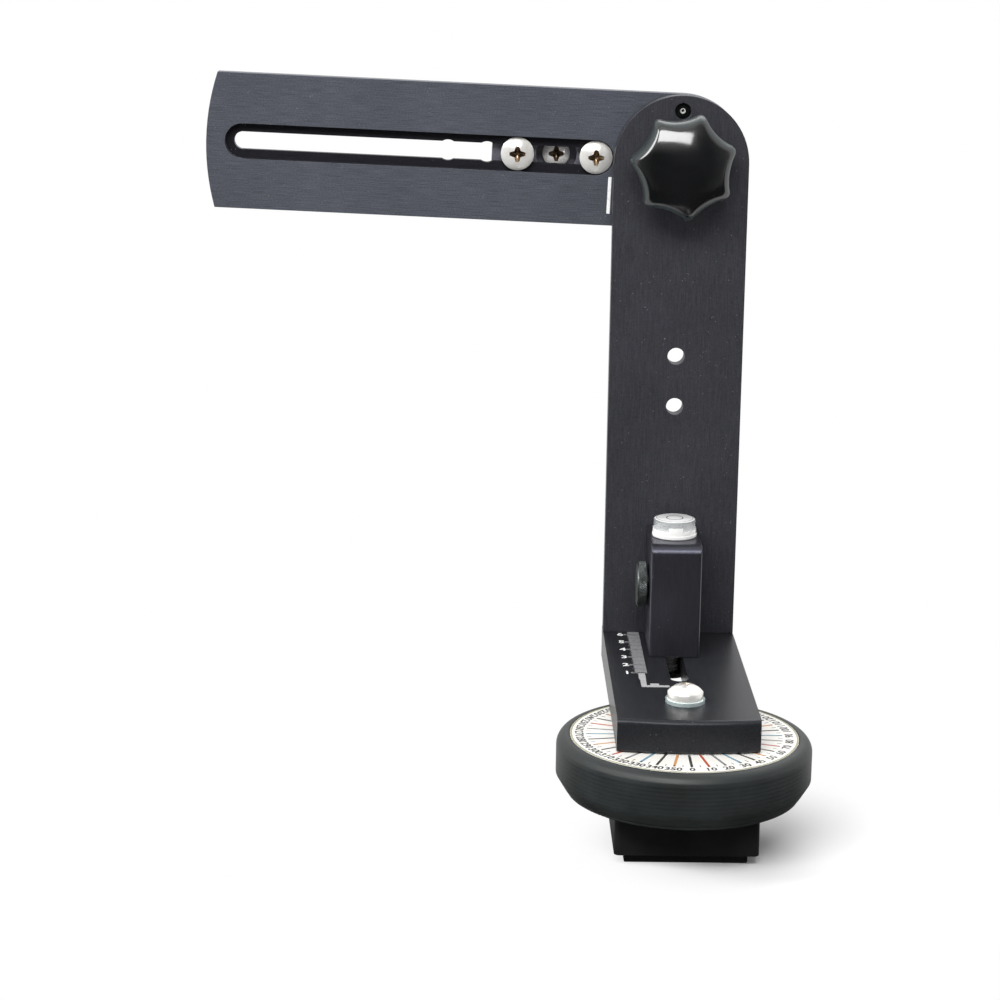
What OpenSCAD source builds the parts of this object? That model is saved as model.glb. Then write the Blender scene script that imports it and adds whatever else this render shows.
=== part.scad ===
// Panoramic tripod head.
// A graduated rotator carries a lower arm that pans on it.  An upright slides along the arm,
// and a camera bracket with a sliding camera plate tilts on the upright.
// Sizes are in millimetres.  The origin is the mouth of the tripod thread under the base.
// +Z runs up the pan axis, +Y runs along the lower arm to the upright, and +X is to the
// right of someone who looks along +Y.

/* [Bars] */
// Width of the lower arm, the upright and the camera bracket
bar_w = 50.8; // [49:0.1:54]
// Thickness of the upright
upright_t = 6.35; // [6:0.05:8]
// Thickness of the camera bracket
bracket_t = 6.35; // [6:0.05:8]
// Thickness of the lower arm
arm_t = 12; // [11:0.25:14]
// Distance from the pan axis to the upright's front face
foot_y = 87.8; // [80:0.2:95]
// Overhang of the lower arm in front of the pan axis
arm_overhang = 23.1; // [18:0.1:28]
// How far the arm's front end bows out
arm_bow = 2.4; // [1:0.1:4]
// Rounding of the arm's front top edge
arm_nose_r = 2; // [0.5:0.1:3]
// Chamfer of the arm's front bottom edge
arm_chamfer = 0.7; // [0.2:0.1:1.5]
// Reach of the camera bracket from the tilt axis
bracket_reach = 179; // [165:0.5:190]
// How far the bracket's free end bows out
bracket_bow = 3.7; // [1:0.1:6]
// Room left above the arm when the bracket is folded straight down
fold_gap = 4; // [2:0.1:8]
// Tilt of the bracket at rest, free end up, in degrees
tilt_rest = 2; // [0:0.5:5]

/* [Slots] */
// Width of the slots in the arm and the bracket
slot_w = 6.6; // [6.6:0.05:7]
// Width of the counterbores along the slots
counterbore_w = 13.2; // [13:0.1:14]
// Depth of the counterbore in the bracket
bracket_counterbore = 3.2; // [2:0.1:4]
// Depth of the counterbore under the arm
arm_counterbore = 2.2; // [2:0.1:3]
// Diameter of the two reliefs in the edges of the bracket's slot
relief_d = 7.9; // [7:0.1:9]
// Distance of the first relief from the tilt axis
relief_at = 73.1; // [66:0.1:80]
// Distance between the two reliefs
relief_pitch = 14.8; // [10:0.1:20]
// Distance from the bracket slot's outer end to the bracket's free end
slot_margin = 10.3; // [8:0.1:14]
// Travel of the upright towards the back of the arm
back_travel = 2.6; // [1:0.1:4]
// Room between the foot block and the pivot washer at the front stop
stop_gap = 3.8; // [1:0.1:6]

/* [Upright] */
// Height of the lower through hole above the arm
lower_hole_h = 90.2; // [80:0.2:100]
// Distance between the two through holes
hole_pitch = 19.5; // [14:0.1:24]
// Diameter of the through holes
through_hole_d = 6.5; // [5:0.1:8]

/* [Foot block] */
// Width of the foot block
block_w = 19.05; // [17:0.05:22]
// Length of the foot block along the arm
block_l = 33.3; // [31:0.1:36]
// Height of the foot block
block_h = 43.4; // [41:0.1:48]
// Rounding of the block's front top edge
block_nose_r = 4.1; // [2:0.1:6]
// Rounding of the block's upright edges
block_edge_r = 1; // [0.4:0.1:2]
// Height of the thumbscrew above the arm
thumb_h = 24.1; // [22:0.1:28]
// Diameter of the thumbscrew's knurled head
thumb_d = 17.6; // [14:0.1:19]
// Thickness of the thumbscrew's knurled head
thumb_t = 3.8; // [3:0.1:6]
// Diameter of the thumbscrew's shank
thumb_shank_d = 6; // [5:0.1:6.4]

/* [Level] */
// Outer diameter of the level's white cup
level_d = 17; // [15.5:0.1:18.5]
// Height of the level's white cup
level_cup_h = 4.4; // [4:0.1:5]
// Height of the level from the block to the top of the vial
level_h = 7; // [6.6:0.1:9]
// Width of the tab on the front of the cup
level_tab_w = 5.4; // [3:0.1:6]
// Height of the tab above the cup
level_tab_h = 1.6; // [0.8:0.1:1.8]
// Wall of the cup round the vial
level_wall = 0.5; // [0.4:0.05:0.8]

/* [Screws] */
// Shank diameter of the pivot, clamp and camera screws
screw_d = 6.35; // [6.1:0.05:6.35]
// Diameter of the plate screws' pan heads and of the foot stud's flat head
pan_head_d = 12.5; // [11:0.1:12.6]
// Height of the pan heads
pan_head_h = 3.9; // [3:0.1:4]
// Diameter of the pivot screw's head
pivot_head_d = 12.9; // [11:0.1:13.5]
// Height of the pivot screw's head
pivot_head_h = 5.5; // [3.5:0.1:6]
// Diameter of the washer under the pivot screw
pivot_washer_d = 14.3; // [13.6:0.1:17]
// Thickness of the washer under the pivot screw
pivot_washer_t = 1.3; // [0.8:0.1:2]
// Thickness of the thin washers
thin_washer_t = 0.8; // [0.5:0.1:1]
// Lead of the screw threads, per turn
thread_lead = 1.27; // [0.8:0.01:1.5]

/* [Tilt knob] */
// Radius of the knob over its lobes
knob_tip_r = 20; // [18:0.1:23]
// Radius of the knob at the hollows between its lobes
knob_waist_r = 16.9; // [16:0.1:17.2]
// Radius of each lobe's nose
knob_nose_r = 2.3; // [2:0.1:2.6]
// Number of lobes
knob_lobes = 7; // [7:1:7]
// Angle of the first lobe
knob_phase = 19.5; // [0:0.5:51]
// Height of the hub behind the lobes
knob_hub_h = 5.5; // [3:0.1:8]
// Diameter of the hub behind the lobes
knob_hub_d = 22; // [18:0.5:26]
// Height of the knob over all
knob_h = 20.5; // [18:0.1:24]
// Fall of the knob's dome from its middle to the lobe tips
knob_dome = 8; // [5:0.1:10]
// How far the knob unscrews, in turns
knob_turns = 2; // [1:0.5:3]
// Diameter of the washer under the knob
knob_washer_d = 19; // [16:0.1:24]

/* [Detent] */
// Distance of the detent plunger from the bars' round ends
detent_inset = 5.8; // [4.9:0.1:6.4]
// Diameter of the detent plunger
plunger_d = 6; // [5:0.1:6.4]
// Depth of the plunger's recess in the upright
plunger_recess = 1.3; // [0.8:0.1:1.6]
// Diameter of the detent ball
ball_d = 3.2; // [2.8:0.1:3.4]
// Angle between the dimples on the bracket
dimple_step = 15; // [10:5:30]
// Depth of the dimples
dimple_depth = 0.5; // [0.3:0.05:0.8]

/* [Camera plate] */
// Distance from the tilt axis to the inner plate screw
inner_screw_at = 31.8; // [31:0.1:34]
// Distance between the two plate screws
plate_screw_pitch = 29.8; // [27:0.1:33]
// Length of the camera plate
plate_l = 48.9; // [45:0.1:54]
// Width of the camera plate
plate_w = 38.1; // [34:0.1:46]
// Thickness of the camera plate
plate_t = 9.5; // [9:0.1:12]
// Thickness of the rubber pad on the camera plate
plate_pad_t = 1.6; // [1:0.1:3]
// Diameter of the recess for the camera screw's head
camera_recess_d = 15.4; // [14:0.1:16]
// Depth of the recess for the camera screw's head
camera_recess = 5; // [4.5:0.1:6]
// Head diameter of the camera screw
camera_head_d = 10.4; // [9:0.1:12]
// How far the camera screw stands out of the pad
camera_screw_out = 5.5; // [4:0.1:7]

/* [Rotator] */
// Width of the square base block
base_w = 51.4; // [48:0.2:56]
// Height of the square base block
base_h = 15.6; // [15:0.1:20]
// Width of the square rubber pad
pad_w = 44; // [42:0.2:47]
// Thickness of the rubber pad
pad_t = 4; // [2:0.1:5]
// Step in from the upper ring to the lower shell
bowl_step = 3.8; // [3.4:0.1:4.4]
// Thickness of the lower shell's rim
bowl_rim_t = 1.8; // [1.4:0.1:3]
// Thickness of the lower shell's floor
bowl_floor_t = 3; // [2.6:0.1:4]
// Radius of the upper ring
ring_r = 46; // [45:0.1:48]
// Height of the upper ring
ring_h = 19.1; // [18:0.1:22]
// Height of the chamfer at the ring's lower edge
ring_chamfer_h = 5; // [3:0.1:6]
// Inset of the chamfer at the ring's lower edge
ring_chamfer = 3; // [2:0.1:3.2]
// Radius of the ring's upper shoulder
shoulder_r = 4.2; // [3:0.1:4.3]
// Step in from the upper ring to the printed scale disc
disc_step = 4.9; // [4.8:0.1:7]
// Thickness of the printed scale disc
disc_t = 0.8; // [0.5:0.1:1.2]
// Wall of the moulded shells
shell_t = 2.6; // [2:0.1:3.2]
// Thickness of the slip washer between the disc and the arm
slip_washer_t = 0.4; // [0.3:0.1:1]
// Number of ribs in the lower shell
bowl_ribs = 12; // [8:4:16]
// Outer diameter of the tripod thread's bushing
bushing_d = 14; // [13:0.1:18]
// Bore of the tripod thread
tripod_bore_d = 8.1; // [8:0.05:8.4]

/* [Hidden] */
$fn = 96;

// Clearances
slip = 0.05;            // between flat faces that slide on each other
turn_gap = 0.075;       // round a shaft that turns in its hole
screw_gap = 0.125;      // round a screw that passes through
seat_gap = 0.3;         // between curved faces of pieces that only stand close
mould_gap = 0.3;        // between the two moulded shells
over = 1;               // how far a cut runs past the face it opens

// Radii that several pieces share
screw_r = screw_d / 2;
turn_hole_r = screw_r + turn_gap;
pass_hole_r = screw_r + screw_gap;
slot_r = slot_w / 2;
counterbore_r = counterbore_w / 2;

// Radii that follow the ring and the bars
bowl_r = ring_r - bowl_step;
disc_r = ring_r - disc_step;
detent_r = bar_w / 2 - detent_inset;
slip_washer_r = bar_w / 2 - 6;
tilt_spacer_r = detent_r - plunger_d - 1.6;

// Heights, from the base up
block_z = pad_t;
bowl_z = block_z + base_h;
ring_z = bowl_z + bowl_rim_t;
ring_top = ring_z + ring_h;
disc_z = ring_top - disc_t;
arm_z = ring_top + slip_washer_t + slip;
arm_top = arm_z + arm_t;
foot_z = arm_top + slip;
thumb_z = foot_z + thumb_h;
block_top = foot_z + block_h;
pivot_z = foot_z + bracket_reach + fold_gap;

// Places along the arm, from the pan axis back
block_y = foot_y - block_l;
stud_y = foot_y - block_l / 2;
back_y = foot_y + upright_t;
front_stop_y = pivot_washer_d / 2 + stop_gap + block_l / 2;
back_stop_y = stud_y + back_travel;
arm_end_y = back_y + back_travel;
spacer_t = thin_washer_t;
bracket_y = back_y + slip + spacer_t;
bracket_back = bracket_y + bracket_t;
plate_y = bracket_back + slip;
plate_back = plate_y + plate_t;
pad_back = plate_back + plate_pad_t;

// Places along the bracket, from the tilt axis out
outer_screw_at = inner_screw_at + plate_screw_pitch;
camera_screw_at = inner_screw_at + plate_screw_pitch / 2;
slot_in = inner_screw_at;
slot_out = bracket_reach - slot_margin - slot_r;
plate_travel = slot_out - outer_screw_at;

// ---- Shared shapes ----

// A round bar along +Y from y0 to y1, or along +X from x0 to x1
module bar_y(y0, y1, d) translate([0, y0, 0]) rotate([-90, 0, 0]) cylinder(h = y1 - y0, d = d);
module bar_x(x0, x1, d) translate([x0, 0, 0]) rotate([0, 90, 0]) cylinder(h = x1 - x0, d = d);

// A cone along +Y, for countersinks
module cone_y(y0, y1, d0, d1)
    translate([0, y0, 0]) rotate([-90, 0, 0]) cylinder(h = y1 - y0, d1 = d0, d2 = d1);

// A flat washer that stands on z = 0
module washer(d, hole_d, t)
    difference() {
        cylinder(h = t, d = d);
        translate([0, 0, -over]) cylinder(h = t + 2 * over, d = hole_d);
    }

// An outline with round ends, from x = a to x = b between the centres of its ends
module slot_outline(a, b, w) {
    translate([a, -w / 2]) square([b - a, w]);
    translate([a, 0]) circle(d = w);
    translate([b, 0]) circle(d = w);
}

// A screw head with a domed top that stands on z = 0
module pan_head(d, h)
    rotate_extrude() {
        edge = h * 0.45;
        dome_r = (d * d / 4 + (h - edge) * (h - edge)) / (2 * (h - edge));
        square([d / 2, edge]);
        intersection() {
            translate([0, h - dome_r]) circle(r = dome_r);
            translate([0, edge]) square([d / 2, h - edge]);
        }
    }

// Turns +Z to -Y, so that a screw head faces the viewer
module face_front() rotate([90, 0, 0]) children();

// Turns +Z to +Y
module face_back() rotate([-90, 0, 0]) children();

// The bracket's own frame: the origin is on the tilt axis and -X runs to the free end
module on_bracket() translate([0, 0, pivot_z]) rotate([0, tilt_rest, 0]) children();

// Places at the same distance from the pan axis
module around(n, r, phase = 0)
    for (i = [0 : n - 1]) rotate([0, 0, phase + i * 360 / n]) translate([r, 0, 0]) children();

// A bowed end of a bar: the strip of a large circle that ends at x = reach
module bowed_end(reach, bow, w) {
    r = (w * w / 4 + bow * bow) / (2 * bow);
    intersection() {
        translate([reach - r, 0]) circle(r = r, $fn = 360);
        translate([reach - bow - over, -w / 2]) square([bow + 2 * over, w]);
    }
}

// ---- Base and rotator ----

// Square block screws and shell screws
base_screw_at = 17.5;
base_screw_d = 3.5;
base_screw_head_d = 6.8;
base_screw_head_h = 2.4;
base_screw_grip = 5;
ring_screw_at = bowl_r - 9.7;
ring_screw_grip = 9;
boss_d = 8;
hub_d = 24;
nut_w = 11.1;
nut_h = 7.8;
spigot_r = bowl_r - shell_t - 0.4;
spigot_h = 8;
ring_bore_r = spigot_r + mould_gap;
plate_under = disc_z - shell_t;
nut_z = bowl_z + 0.6;

module base_pad() {
    color("#1d1d1e")
        difference() {
            translate([-pad_w / 2, -pad_w / 2, 0]) cube([pad_w, pad_w, pad_t]);
            translate([0, 0, -over]) cylinder(h = pad_t + 2 * over, d = bushing_d + seat_gap);
        }
}

module base_block() {
    head_z = block_z + base_screw_head_h + 0.6;
    color("#262627")
        difference() {
            translate([0, 0, block_z]) linear_extrude(base_h) rounded_square(base_w, 2);
            translate([0, 0, block_z - over])
                cylinder(h = base_h + 2 * over, d = bushing_d);
            for (x = [-1, 1], y = [-1, 1]) translate([x, y, 0] * base_screw_at) {
                translate([0, 0, block_z - over])
                    cylinder(h = head_z - block_z + over, d = base_screw_head_d + 0.4);
                translate([0, 0, block_z]) cylinder(h = base_h + over, d = base_screw_d + 0.2);
            }
        }
}

// A square with rounded corners, centred on the origin
module rounded_square(w, r) {
    square([w, w - 2 * r], center = true);
    square([w - 2 * r, w], center = true);
    for (x = [-1, 1], y = [-1, 1]) translate([x, y] * (w / 2 - r)) circle(r = r);
}

// Steel bushing with the thread that the tripod's stud enters
module tripod_bushing() {
    color("#8f9194") washer(bushing_d - 0.04, tripod_bore_d, bowl_z);
}

// Four screws that hold the square block to the lower shell
module base_screws() {
    head_z = block_z + 0.6;
    color("#6e7073")
        for (x = [-1, 1], y = [-1, 1]) translate([x * base_screw_at, y * base_screw_at, 0]) {
            translate([0, 0, head_z]) cylinder(h = base_screw_head_h, d = base_screw_head_d);
            translate([0, 0, head_z])
                cylinder(h = bowl_z + base_screw_grip - head_z, d = base_screw_d);
        }
}

// Moulded lower shell with its hub, ribs and screw bosses
module rotator_bowl() {
    floor_top = bowl_z + bowl_floor_t;
    spigot_top = ring_z + spigot_h;
    rib_h = spigot_top - 2 - floor_top;
    color("#35393a")
        difference() {
            union() {
                translate([0, 0, bowl_z]) rotate_extrude() {
                    edge_r = min(1, bowl_rim_t / 2);
                    square([bowl_r - edge_r, bowl_rim_t]);
                    translate([0, edge_r]) square([bowl_r, bowl_rim_t - edge_r]);
                    translate([bowl_r - edge_r, edge_r]) circle(r = edge_r);
                }
                translate([0, 0, bowl_z]) cylinder(h = bowl_floor_t, r = spigot_r);
                translate([0, 0, bowl_z]) difference() {
                    cylinder(h = spigot_top - bowl_z, r = spigot_r);
                    translate([0, 0, -over])
                        cylinder(h = spigot_top - bowl_z + 2 * over, r = spigot_r - shell_t);
                }
                translate([0, 0, bowl_z]) cylinder(h = plate_under - bowl_z, d = hub_d);
                for (i = [0 : bowl_ribs - 1])
                    rotate([0, 0, (i + 0.5) * 360 / bowl_ribs])
                        translate([hub_d / 2 - over, -0.8, floor_top - over])
                            cube([spigot_r - hub_d / 2, 1.6, rib_h + over]);
                around(4, ring_screw_at)
                    translate([0, 0, bowl_z]) cylinder(h = bowl_floor_t + 2, d = boss_d);
                for (x = [-1, 1], y = [-1, 1])
                    translate([x * base_screw_at, y * base_screw_at, bowl_z])
                        cylinder(h = base_screw_grip + 2, d = boss_d);
            }
            translate([0, 0, bowl_z - over])
                cylinder(h = plate_under - bowl_z + 2 * over, r = pass_hole_r);
            translate([0, 0, bowl_z - over])
                cylinder(h = nut_z + nut_h - bowl_z + over, d = (nut_w + 0.2) / cos(30), $fn = 6);
            around(4, ring_screw_at) translate([0, 0, bowl_z]) {
                translate([0, 0, -over])
                    cylinder(h = base_screw_head_h + over, d = base_screw_head_d + 0.4);
                cylinder(h = bowl_floor_t + 3, d = base_screw_d + 0.2);
            }
            for (x = [-1, 1], y = [-1, 1])
                translate([x * base_screw_at, y * base_screw_at, bowl_z - over])
                    cylinder(h = base_screw_grip + over + 0.3, d = base_screw_d);
        }
}

// Moulded upper ring: its shoulder, band and chamfer show all round the disc
module rotator_ring() {
    band_top = ring_h - shoulder_r;
    boss_low = bowl_z + bowl_floor_t + 2;
    color("#3b4041")
        difference() {
            union() {
                translate([0, 0, ring_z]) rotate_extrude() {
                    polygon([
                        [ring_bore_r, 0],
                        [ring_r - ring_chamfer, 0],
                        [ring_r, ring_chamfer_h],
                        [ring_r, band_top],
                        [ring_r - shoulder_r, band_top],
                        [ring_r - shoulder_r, ring_h],
                        [ring_bore_r, ring_h],
                    ]);
                    intersection() {
                        translate([ring_r - shoulder_r, band_top]) circle(r = shoulder_r);
                        translate([ring_r - shoulder_r, band_top]) square(shoulder_r);
                    }
                }
                translate([0, 0, plate_under]) cylinder(h = disc_z - plate_under, r = ring_r - 2);
                around(4, ring_screw_at)
                    translate([0, 0, boss_low]) cylinder(h = plate_under - boss_low + 1, d = boss_d);
            }
            translate([0, 0, disc_z]) cylinder(h = disc_t + over, r = disc_r + 0.1);
            translate([0, 0, plate_under - over])
                cylinder(h = shell_t + 2 * over, r = pass_hole_r);
            around(4, ring_screw_at)
                translate([0, 0, boss_low - over])
                    cylinder(h = ring_screw_grip + over + 0.3, d = base_screw_d);
        }
}

// Four screws that close the two shells
module ring_screws() {
    boss_low = bowl_z + bowl_floor_t + 2;
    color("#6e7073")
        around(4, ring_screw_at) translate([0, 0, bowl_z]) {
            cylinder(h = base_screw_head_h - 0.1, d = base_screw_head_d);
            cylinder(h = boss_low + ring_screw_grip - bowl_z, d = base_screw_d);
        }
}

// Printed scale that lies in the ring
module scale_disc() {
    color("#f2efe2")
        translate([0, 0, disc_z]) washer(2 * disc_r, 2 * pass_hole_r, disc_t);
}

// Nylon washer that the arm turns on
module slip_washer() {
    color("#e8e8e4")
        translate([0, 0, ring_top]) washer(2 * slip_washer_r, 2 * pass_hole_r, slip_washer_t);
}

// Domed screw on the pan axis
module pivot_screw() {
    head_z = arm_top + slip + pivot_washer_t;
    color("#cfd2d4") {
        translate([0, 0, head_z]) pan_head(pivot_head_d, pivot_head_h);
        translate([0, 0, nut_z]) cylinder(h = head_z - nut_z, r = screw_r);
    }
}

module pivot_washer() {
    color("#dfe6e6")
        translate([0, 0, arm_top + slip])
            washer(pivot_washer_d, 2 * pass_hole_r, pivot_washer_t);
}

// Locking nut in the hexagonal pocket under the hub
module pivot_nut() {
    color("#9a9c9f")
        difference() {
            translate([0, 0, nut_z]) cylinder(h = nut_h, d = nut_w / cos(30), $fn = 6);
            translate([0, 0, nut_z - over]) cylinder(h = nut_h + 2 * over, r = screw_r + 0.02);
        }
}

// ---- Lower arm ----

bush_wall = 1.6;

module lower_arm() {
    nose_y = -arm_overhang;
    bow_r = (bar_w * bar_w / 4 + arm_bow * arm_bow) / (2 * arm_bow);
    color("#3a3b3e")
        difference() {
            intersection() {
                translate([-bar_w / 2, nose_y - over, arm_z])
                    cube([bar_w, arm_end_y - nose_y + over, arm_t]);
                translate([0, nose_y + bow_r, arm_z]) rotate_extrude($fn = 360) {
                    square([bow_r - arm_nose_r, arm_t]);
                    translate([0, arm_chamfer])
                        square([bow_r, arm_t - arm_nose_r - arm_chamfer]);
                    polygon([[0, 0], [bow_r - arm_chamfer, 0], [bow_r, arm_chamfer], [0, arm_chamfer]]);
                    translate([bow_r - arm_nose_r, arm_t - arm_nose_r])
                        circle(r = arm_nose_r, $fn = 48);
                }
            }
            translate([0, 0, arm_z - over])
                cylinder(h = arm_t + 2 * over, r = turn_hole_r + bush_wall + 0.02);
            arm_slot(slot_w, arm_z - over, arm_t + 2 * over);
            arm_slot(counterbore_w, arm_z - over, arm_counterbore + over);
        }
}

// A slot along the arm that spans the stud's two end positions
module arm_slot(w, z, h)
    translate([0, 0, z]) linear_extrude(h)
        rotate([0, 0, 90]) slot_outline(front_stop_y, back_stop_y, w);

// Bronze bush that the arm turns on
module pivot_bush() {
    color("#a5804a")
        translate([0, 0, arm_z])
            washer(2 * (turn_hole_r + bush_wall), 2 * turn_hole_r, arm_t);
}

// ---- Upright and foot block ----

block_screw_d = 5;
block_screw_head_d = 9.6;
block_screw_heights = [12, 35];
block_screw_grip = 11;
block_screw_sink = 2.6;
block_screw_room = 0.3;

module upright() {
    color("#3c3c40")
        difference() {
            translate([0, back_y, 0]) rotate([90, 0, 0]) linear_extrude(upright_t) {
                translate([-bar_w / 2, foot_z]) square([bar_w, pivot_z - foot_z]);
                translate([0, pivot_z]) circle(d = bar_w, $fn = 180);
            }
            translate([0, 0, pivot_z]) bar_y(foot_y - over, back_y + over, 2 * turn_hole_r);
            translate([0, 0, pivot_z + detent_r])
                bar_y(foot_y - over, back_y + over, plunger_d + 2 * 0.02);
            for (h = [lower_hole_h, lower_hole_h + hole_pitch])
                translate([0, 0, foot_z + h]) bar_y(foot_y - over, back_y + over, through_hole_d);
            for (h = block_screw_heights) translate([0, 0, foot_z + h]) {
                bar_y(foot_y - over, back_y + over, block_screw_d + block_screw_room);
                cone_y(back_y - block_screw_sink, back_y + 0.01,
                       block_screw_d, block_screw_head_d + block_screw_room);
            }
        }
}

// Block that locks on the arm and carries the upright and the level
module foot_block() {
    color("#2f2f34")
        difference() {
            intersection() {
                translate([-block_w / 2, 0, 0]) rotate([90, 0, 90]) linear_extrude(block_w) {
                    translate([block_y, foot_z]) square([block_l, block_h - block_nose_r]);
                    translate([block_y + block_nose_r, foot_z])
                        square([block_l - block_nose_r, block_h]);
                    translate([block_y + block_nose_r, block_top - block_nose_r])
                        circle(r = block_nose_r);
                }
                translate([0, 0, foot_z - over]) linear_extrude(block_h + 2 * over) {
                    r = block_edge_r;
                    translate([-block_w / 2, block_y + r]) square([block_w, block_l - r]);
                    translate([-block_w / 2 + r, block_y]) square([block_w - 2 * r, block_l]);
                    for (x = [-1, 1]) translate([x * (block_w / 2 - r), block_y + r]) circle(r = r);
                }
            }
            translate([0, stud_y, foot_z - over])
                cylinder(h = thumb_h + 8 + over, r = turn_hole_r);
            translate([0, stud_y, thumb_z])
                bar_x(-block_w / 2 - over, 0, thumb_shank_d + 2 * turn_gap);
            for (h = block_screw_heights) translate([0, 0, foot_z + h])
                bar_y(foot_y - block_screw_grip - block_screw_room, foot_y + over, block_screw_d);
        }
}

// Two countersunk screws from the back of the upright into the block
module block_screws() {
    color("#8d9093")
        for (h = block_screw_heights) translate([0, 0, foot_z + h]) {
            bar_y(foot_y - block_screw_grip, back_y - 2 * slip, block_screw_d);
            cone_y(back_y - block_screw_sink + 2 * slip, back_y - 2 * slip,
                   block_screw_d, block_screw_head_d - block_screw_room);
        }
}

// Clamp stud whose flat head runs in the counterbore under the arm
module foot_stud() {
    head_t = arm_counterbore - 0.3;
    head_top = arm_z + arm_counterbore - slip;
    groove_r = 1.9;
    groove_h = 2.6;
    stud_over = 6.5;
    color("#a9abad")
        translate([0, stud_y, 0]) difference() {
            union() {
                translate([0, 0, head_top - head_t]) cylinder(h = head_t, d = pan_head_d);
                translate([0, 0, head_top - over])
                    cylinder(h = thumb_z + stud_over - head_top + over, r = screw_r);
            }
            translate([0, 0, thumb_z]) rotate_extrude()
                polygon([[groove_r, 0], [screw_r + over, -groove_h - over],
                         [screw_r + over, groove_h + over]]);
        }
}

// ---- Lock thumbscrew ----

thumb_washer_t = 0.5;
thumb_seat = -block_w / 2 - slip;

module thumb_washer() {
    color("#b9bbbd")
        translate([thumb_seat - thumb_washer_t, stud_y, thumb_z])
            difference() {
                bar_x(0, thumb_washer_t, 11);
                bar_x(-over, thumb_washer_t + over, thumb_shank_d + 2 * screw_gap);
            }
}

// Knurled thumbscrew with a cone point that draws the stud up
module thumbscrew() {
    head_x = thumb_seat - thumb_washer_t - slip;
    cone_l = 2.2;
    tip_x = -2.9;
    bevel = 0.5;
    color("#2a2c2d")
        translate([0, stud_y, thumb_z]) {
            bar_x(head_x - thumb_t + bevel, head_x - bevel, thumb_d);
            bar_x(head_x - thumb_t, head_x, thumb_d - 2 * bevel);
            bar_x(head_x - over, tip_x - cone_l, thumb_shank_d);
            translate([tip_x - cone_l, 0, 0]) rotate([0, 90, 0])
                cylinder(h = cone_l, d1 = thumb_shank_d, d2 = 1.6);
        }
}

// ---- Level ----

level_y = stud_y;
vial_d = level_d - 2 * level_wall;
vial_floor = 1.2;
cavity_d = vial_d - 3.6;
cavity_low = level_cup_h - 1.2;
cavity_top = level_h - 1.7;

module level_cup() {
    color("#f4f4f2")
        translate([0, level_y, block_top]) difference() {
            union() {
                cylinder(h = level_cup_h, d = level_d);
                intersection() {
                    cylinder(h = level_cup_h + level_tab_h, d = level_d);
                    translate([-level_tab_w / 2, -level_d, 0])
                        cube([level_tab_w, level_d, level_cup_h + level_tab_h]);
                }
            }
            translate([0, 0, vial_floor])
                cylinder(h = level_cup_h + level_tab_h, d = vial_d + 0.04);
        }
}

module level_vial() {
    color("#dfe9ea", 0.4)
        translate([0, level_y, block_top]) difference() {
            translate([0, 0, vial_floor]) cylinder(h = level_h - vial_floor, d = vial_d);
            translate([0, 0, cavity_low]) cylinder(h = cavity_top - cavity_low, d = cavity_d);
        }
}

module level_fluid() {
    color("#dfe8c8", 0.6)
        translate([0, level_y, block_top + cavity_low])
            cylinder(h = cavity_top - cavity_low - 0.1, d = cavity_d - 0.1);
}

// ---- Detent plunger ----

plunger_bore_d = ball_d + 0.2;
ball_reach = 0.05;
ball_press = 0.6;
ball_y = bracket_y - ball_reach - ball_d / 2;
spring_y = foot_y + plunger_recess + 1.2;

module plunger_body() {
    color("#1f2022")
        translate([0, 0, pivot_z + detent_r]) difference() {
            bar_y(foot_y + plunger_recess, back_y - 0.3, plunger_d);
            bar_y(spring_y, back_y + over, plunger_bore_d);
            face_back() translate([0, 0, foot_y + plunger_recess - over])
                cylinder(h = over + 0.9, d = 2.6, $fn = 6);
        }
}

// Spring behind the ball, drawn as a stack of turns joined by a core
module plunger_spring() {
    turns = 2;
    wire = 0.36;
    room = ball_y - ball_d / 2 - spring_y - ball_press;
    color("#b0b2b4")
        translate([0, spring_y, pivot_z + detent_r]) face_back() {
            cylinder(h = room, d = 1.2);
            for (i = [0 : turns]) translate([0, 0, i * (room - wire) / turns])
                cylinder(h = wire, d = plunger_bore_d - 0.3);
        }
}

module plunger_ball() {
    color("#d8dadc") translate([0, ball_y, pivot_z + detent_r]) sphere(d = ball_d);
}

// ---- Camera bracket ----

bolt_head_d = 12.7;
bolt_head_t = 2.6;

module camera_bracket() {
    color("#4b4b52")
        on_bracket() difference() {
            translate([0, bracket_back, 0]) face_front() linear_extrude(bracket_t)
                mirror([1, 0]) {
                    circle(d = bar_w, $fn = 180);
                    translate([0, -bar_w / 2]) square([bracket_reach - bracket_bow, bar_w]);
                    bowed_end(bracket_reach, bracket_bow, bar_w);
                }
            bracket_slot(slot_w, bracket_back + over, bracket_t + 2 * over);
            bracket_slot(counterbore_w, bracket_y + bracket_counterbore, bracket_counterbore + over);
            for (i = [0, 1]) translate([-relief_at - i * relief_pitch, 0, 0])
                bar_y(bracket_y - over, bracket_back + over, relief_d);
            bar_y(bracket_y - over, bracket_back + over, screw_d + 0.04);
            bar_y(bracket_back - bolt_head_t, bracket_back + over, bolt_head_d + 0.04);
            for (i = [1 : 360 / dimple_step])
                rotate([0, i * dimple_step, 0]) translate([0, bracket_y, detent_r])
                    dimple();
        }
}

// A slot along the bracket that spans the plate screws' end positions
module bracket_slot(w, y, h)
    translate([0, y, 0]) face_front() linear_extrude(h)
        mirror([1, 0]) slot_outline(slot_in, slot_out, w);

// A shallow cone that the detent ball drops into
module dimple()
    cone_y(-0.01, dimple_depth, 2 * dimple_depth + 0.8, 0.8);

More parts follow.
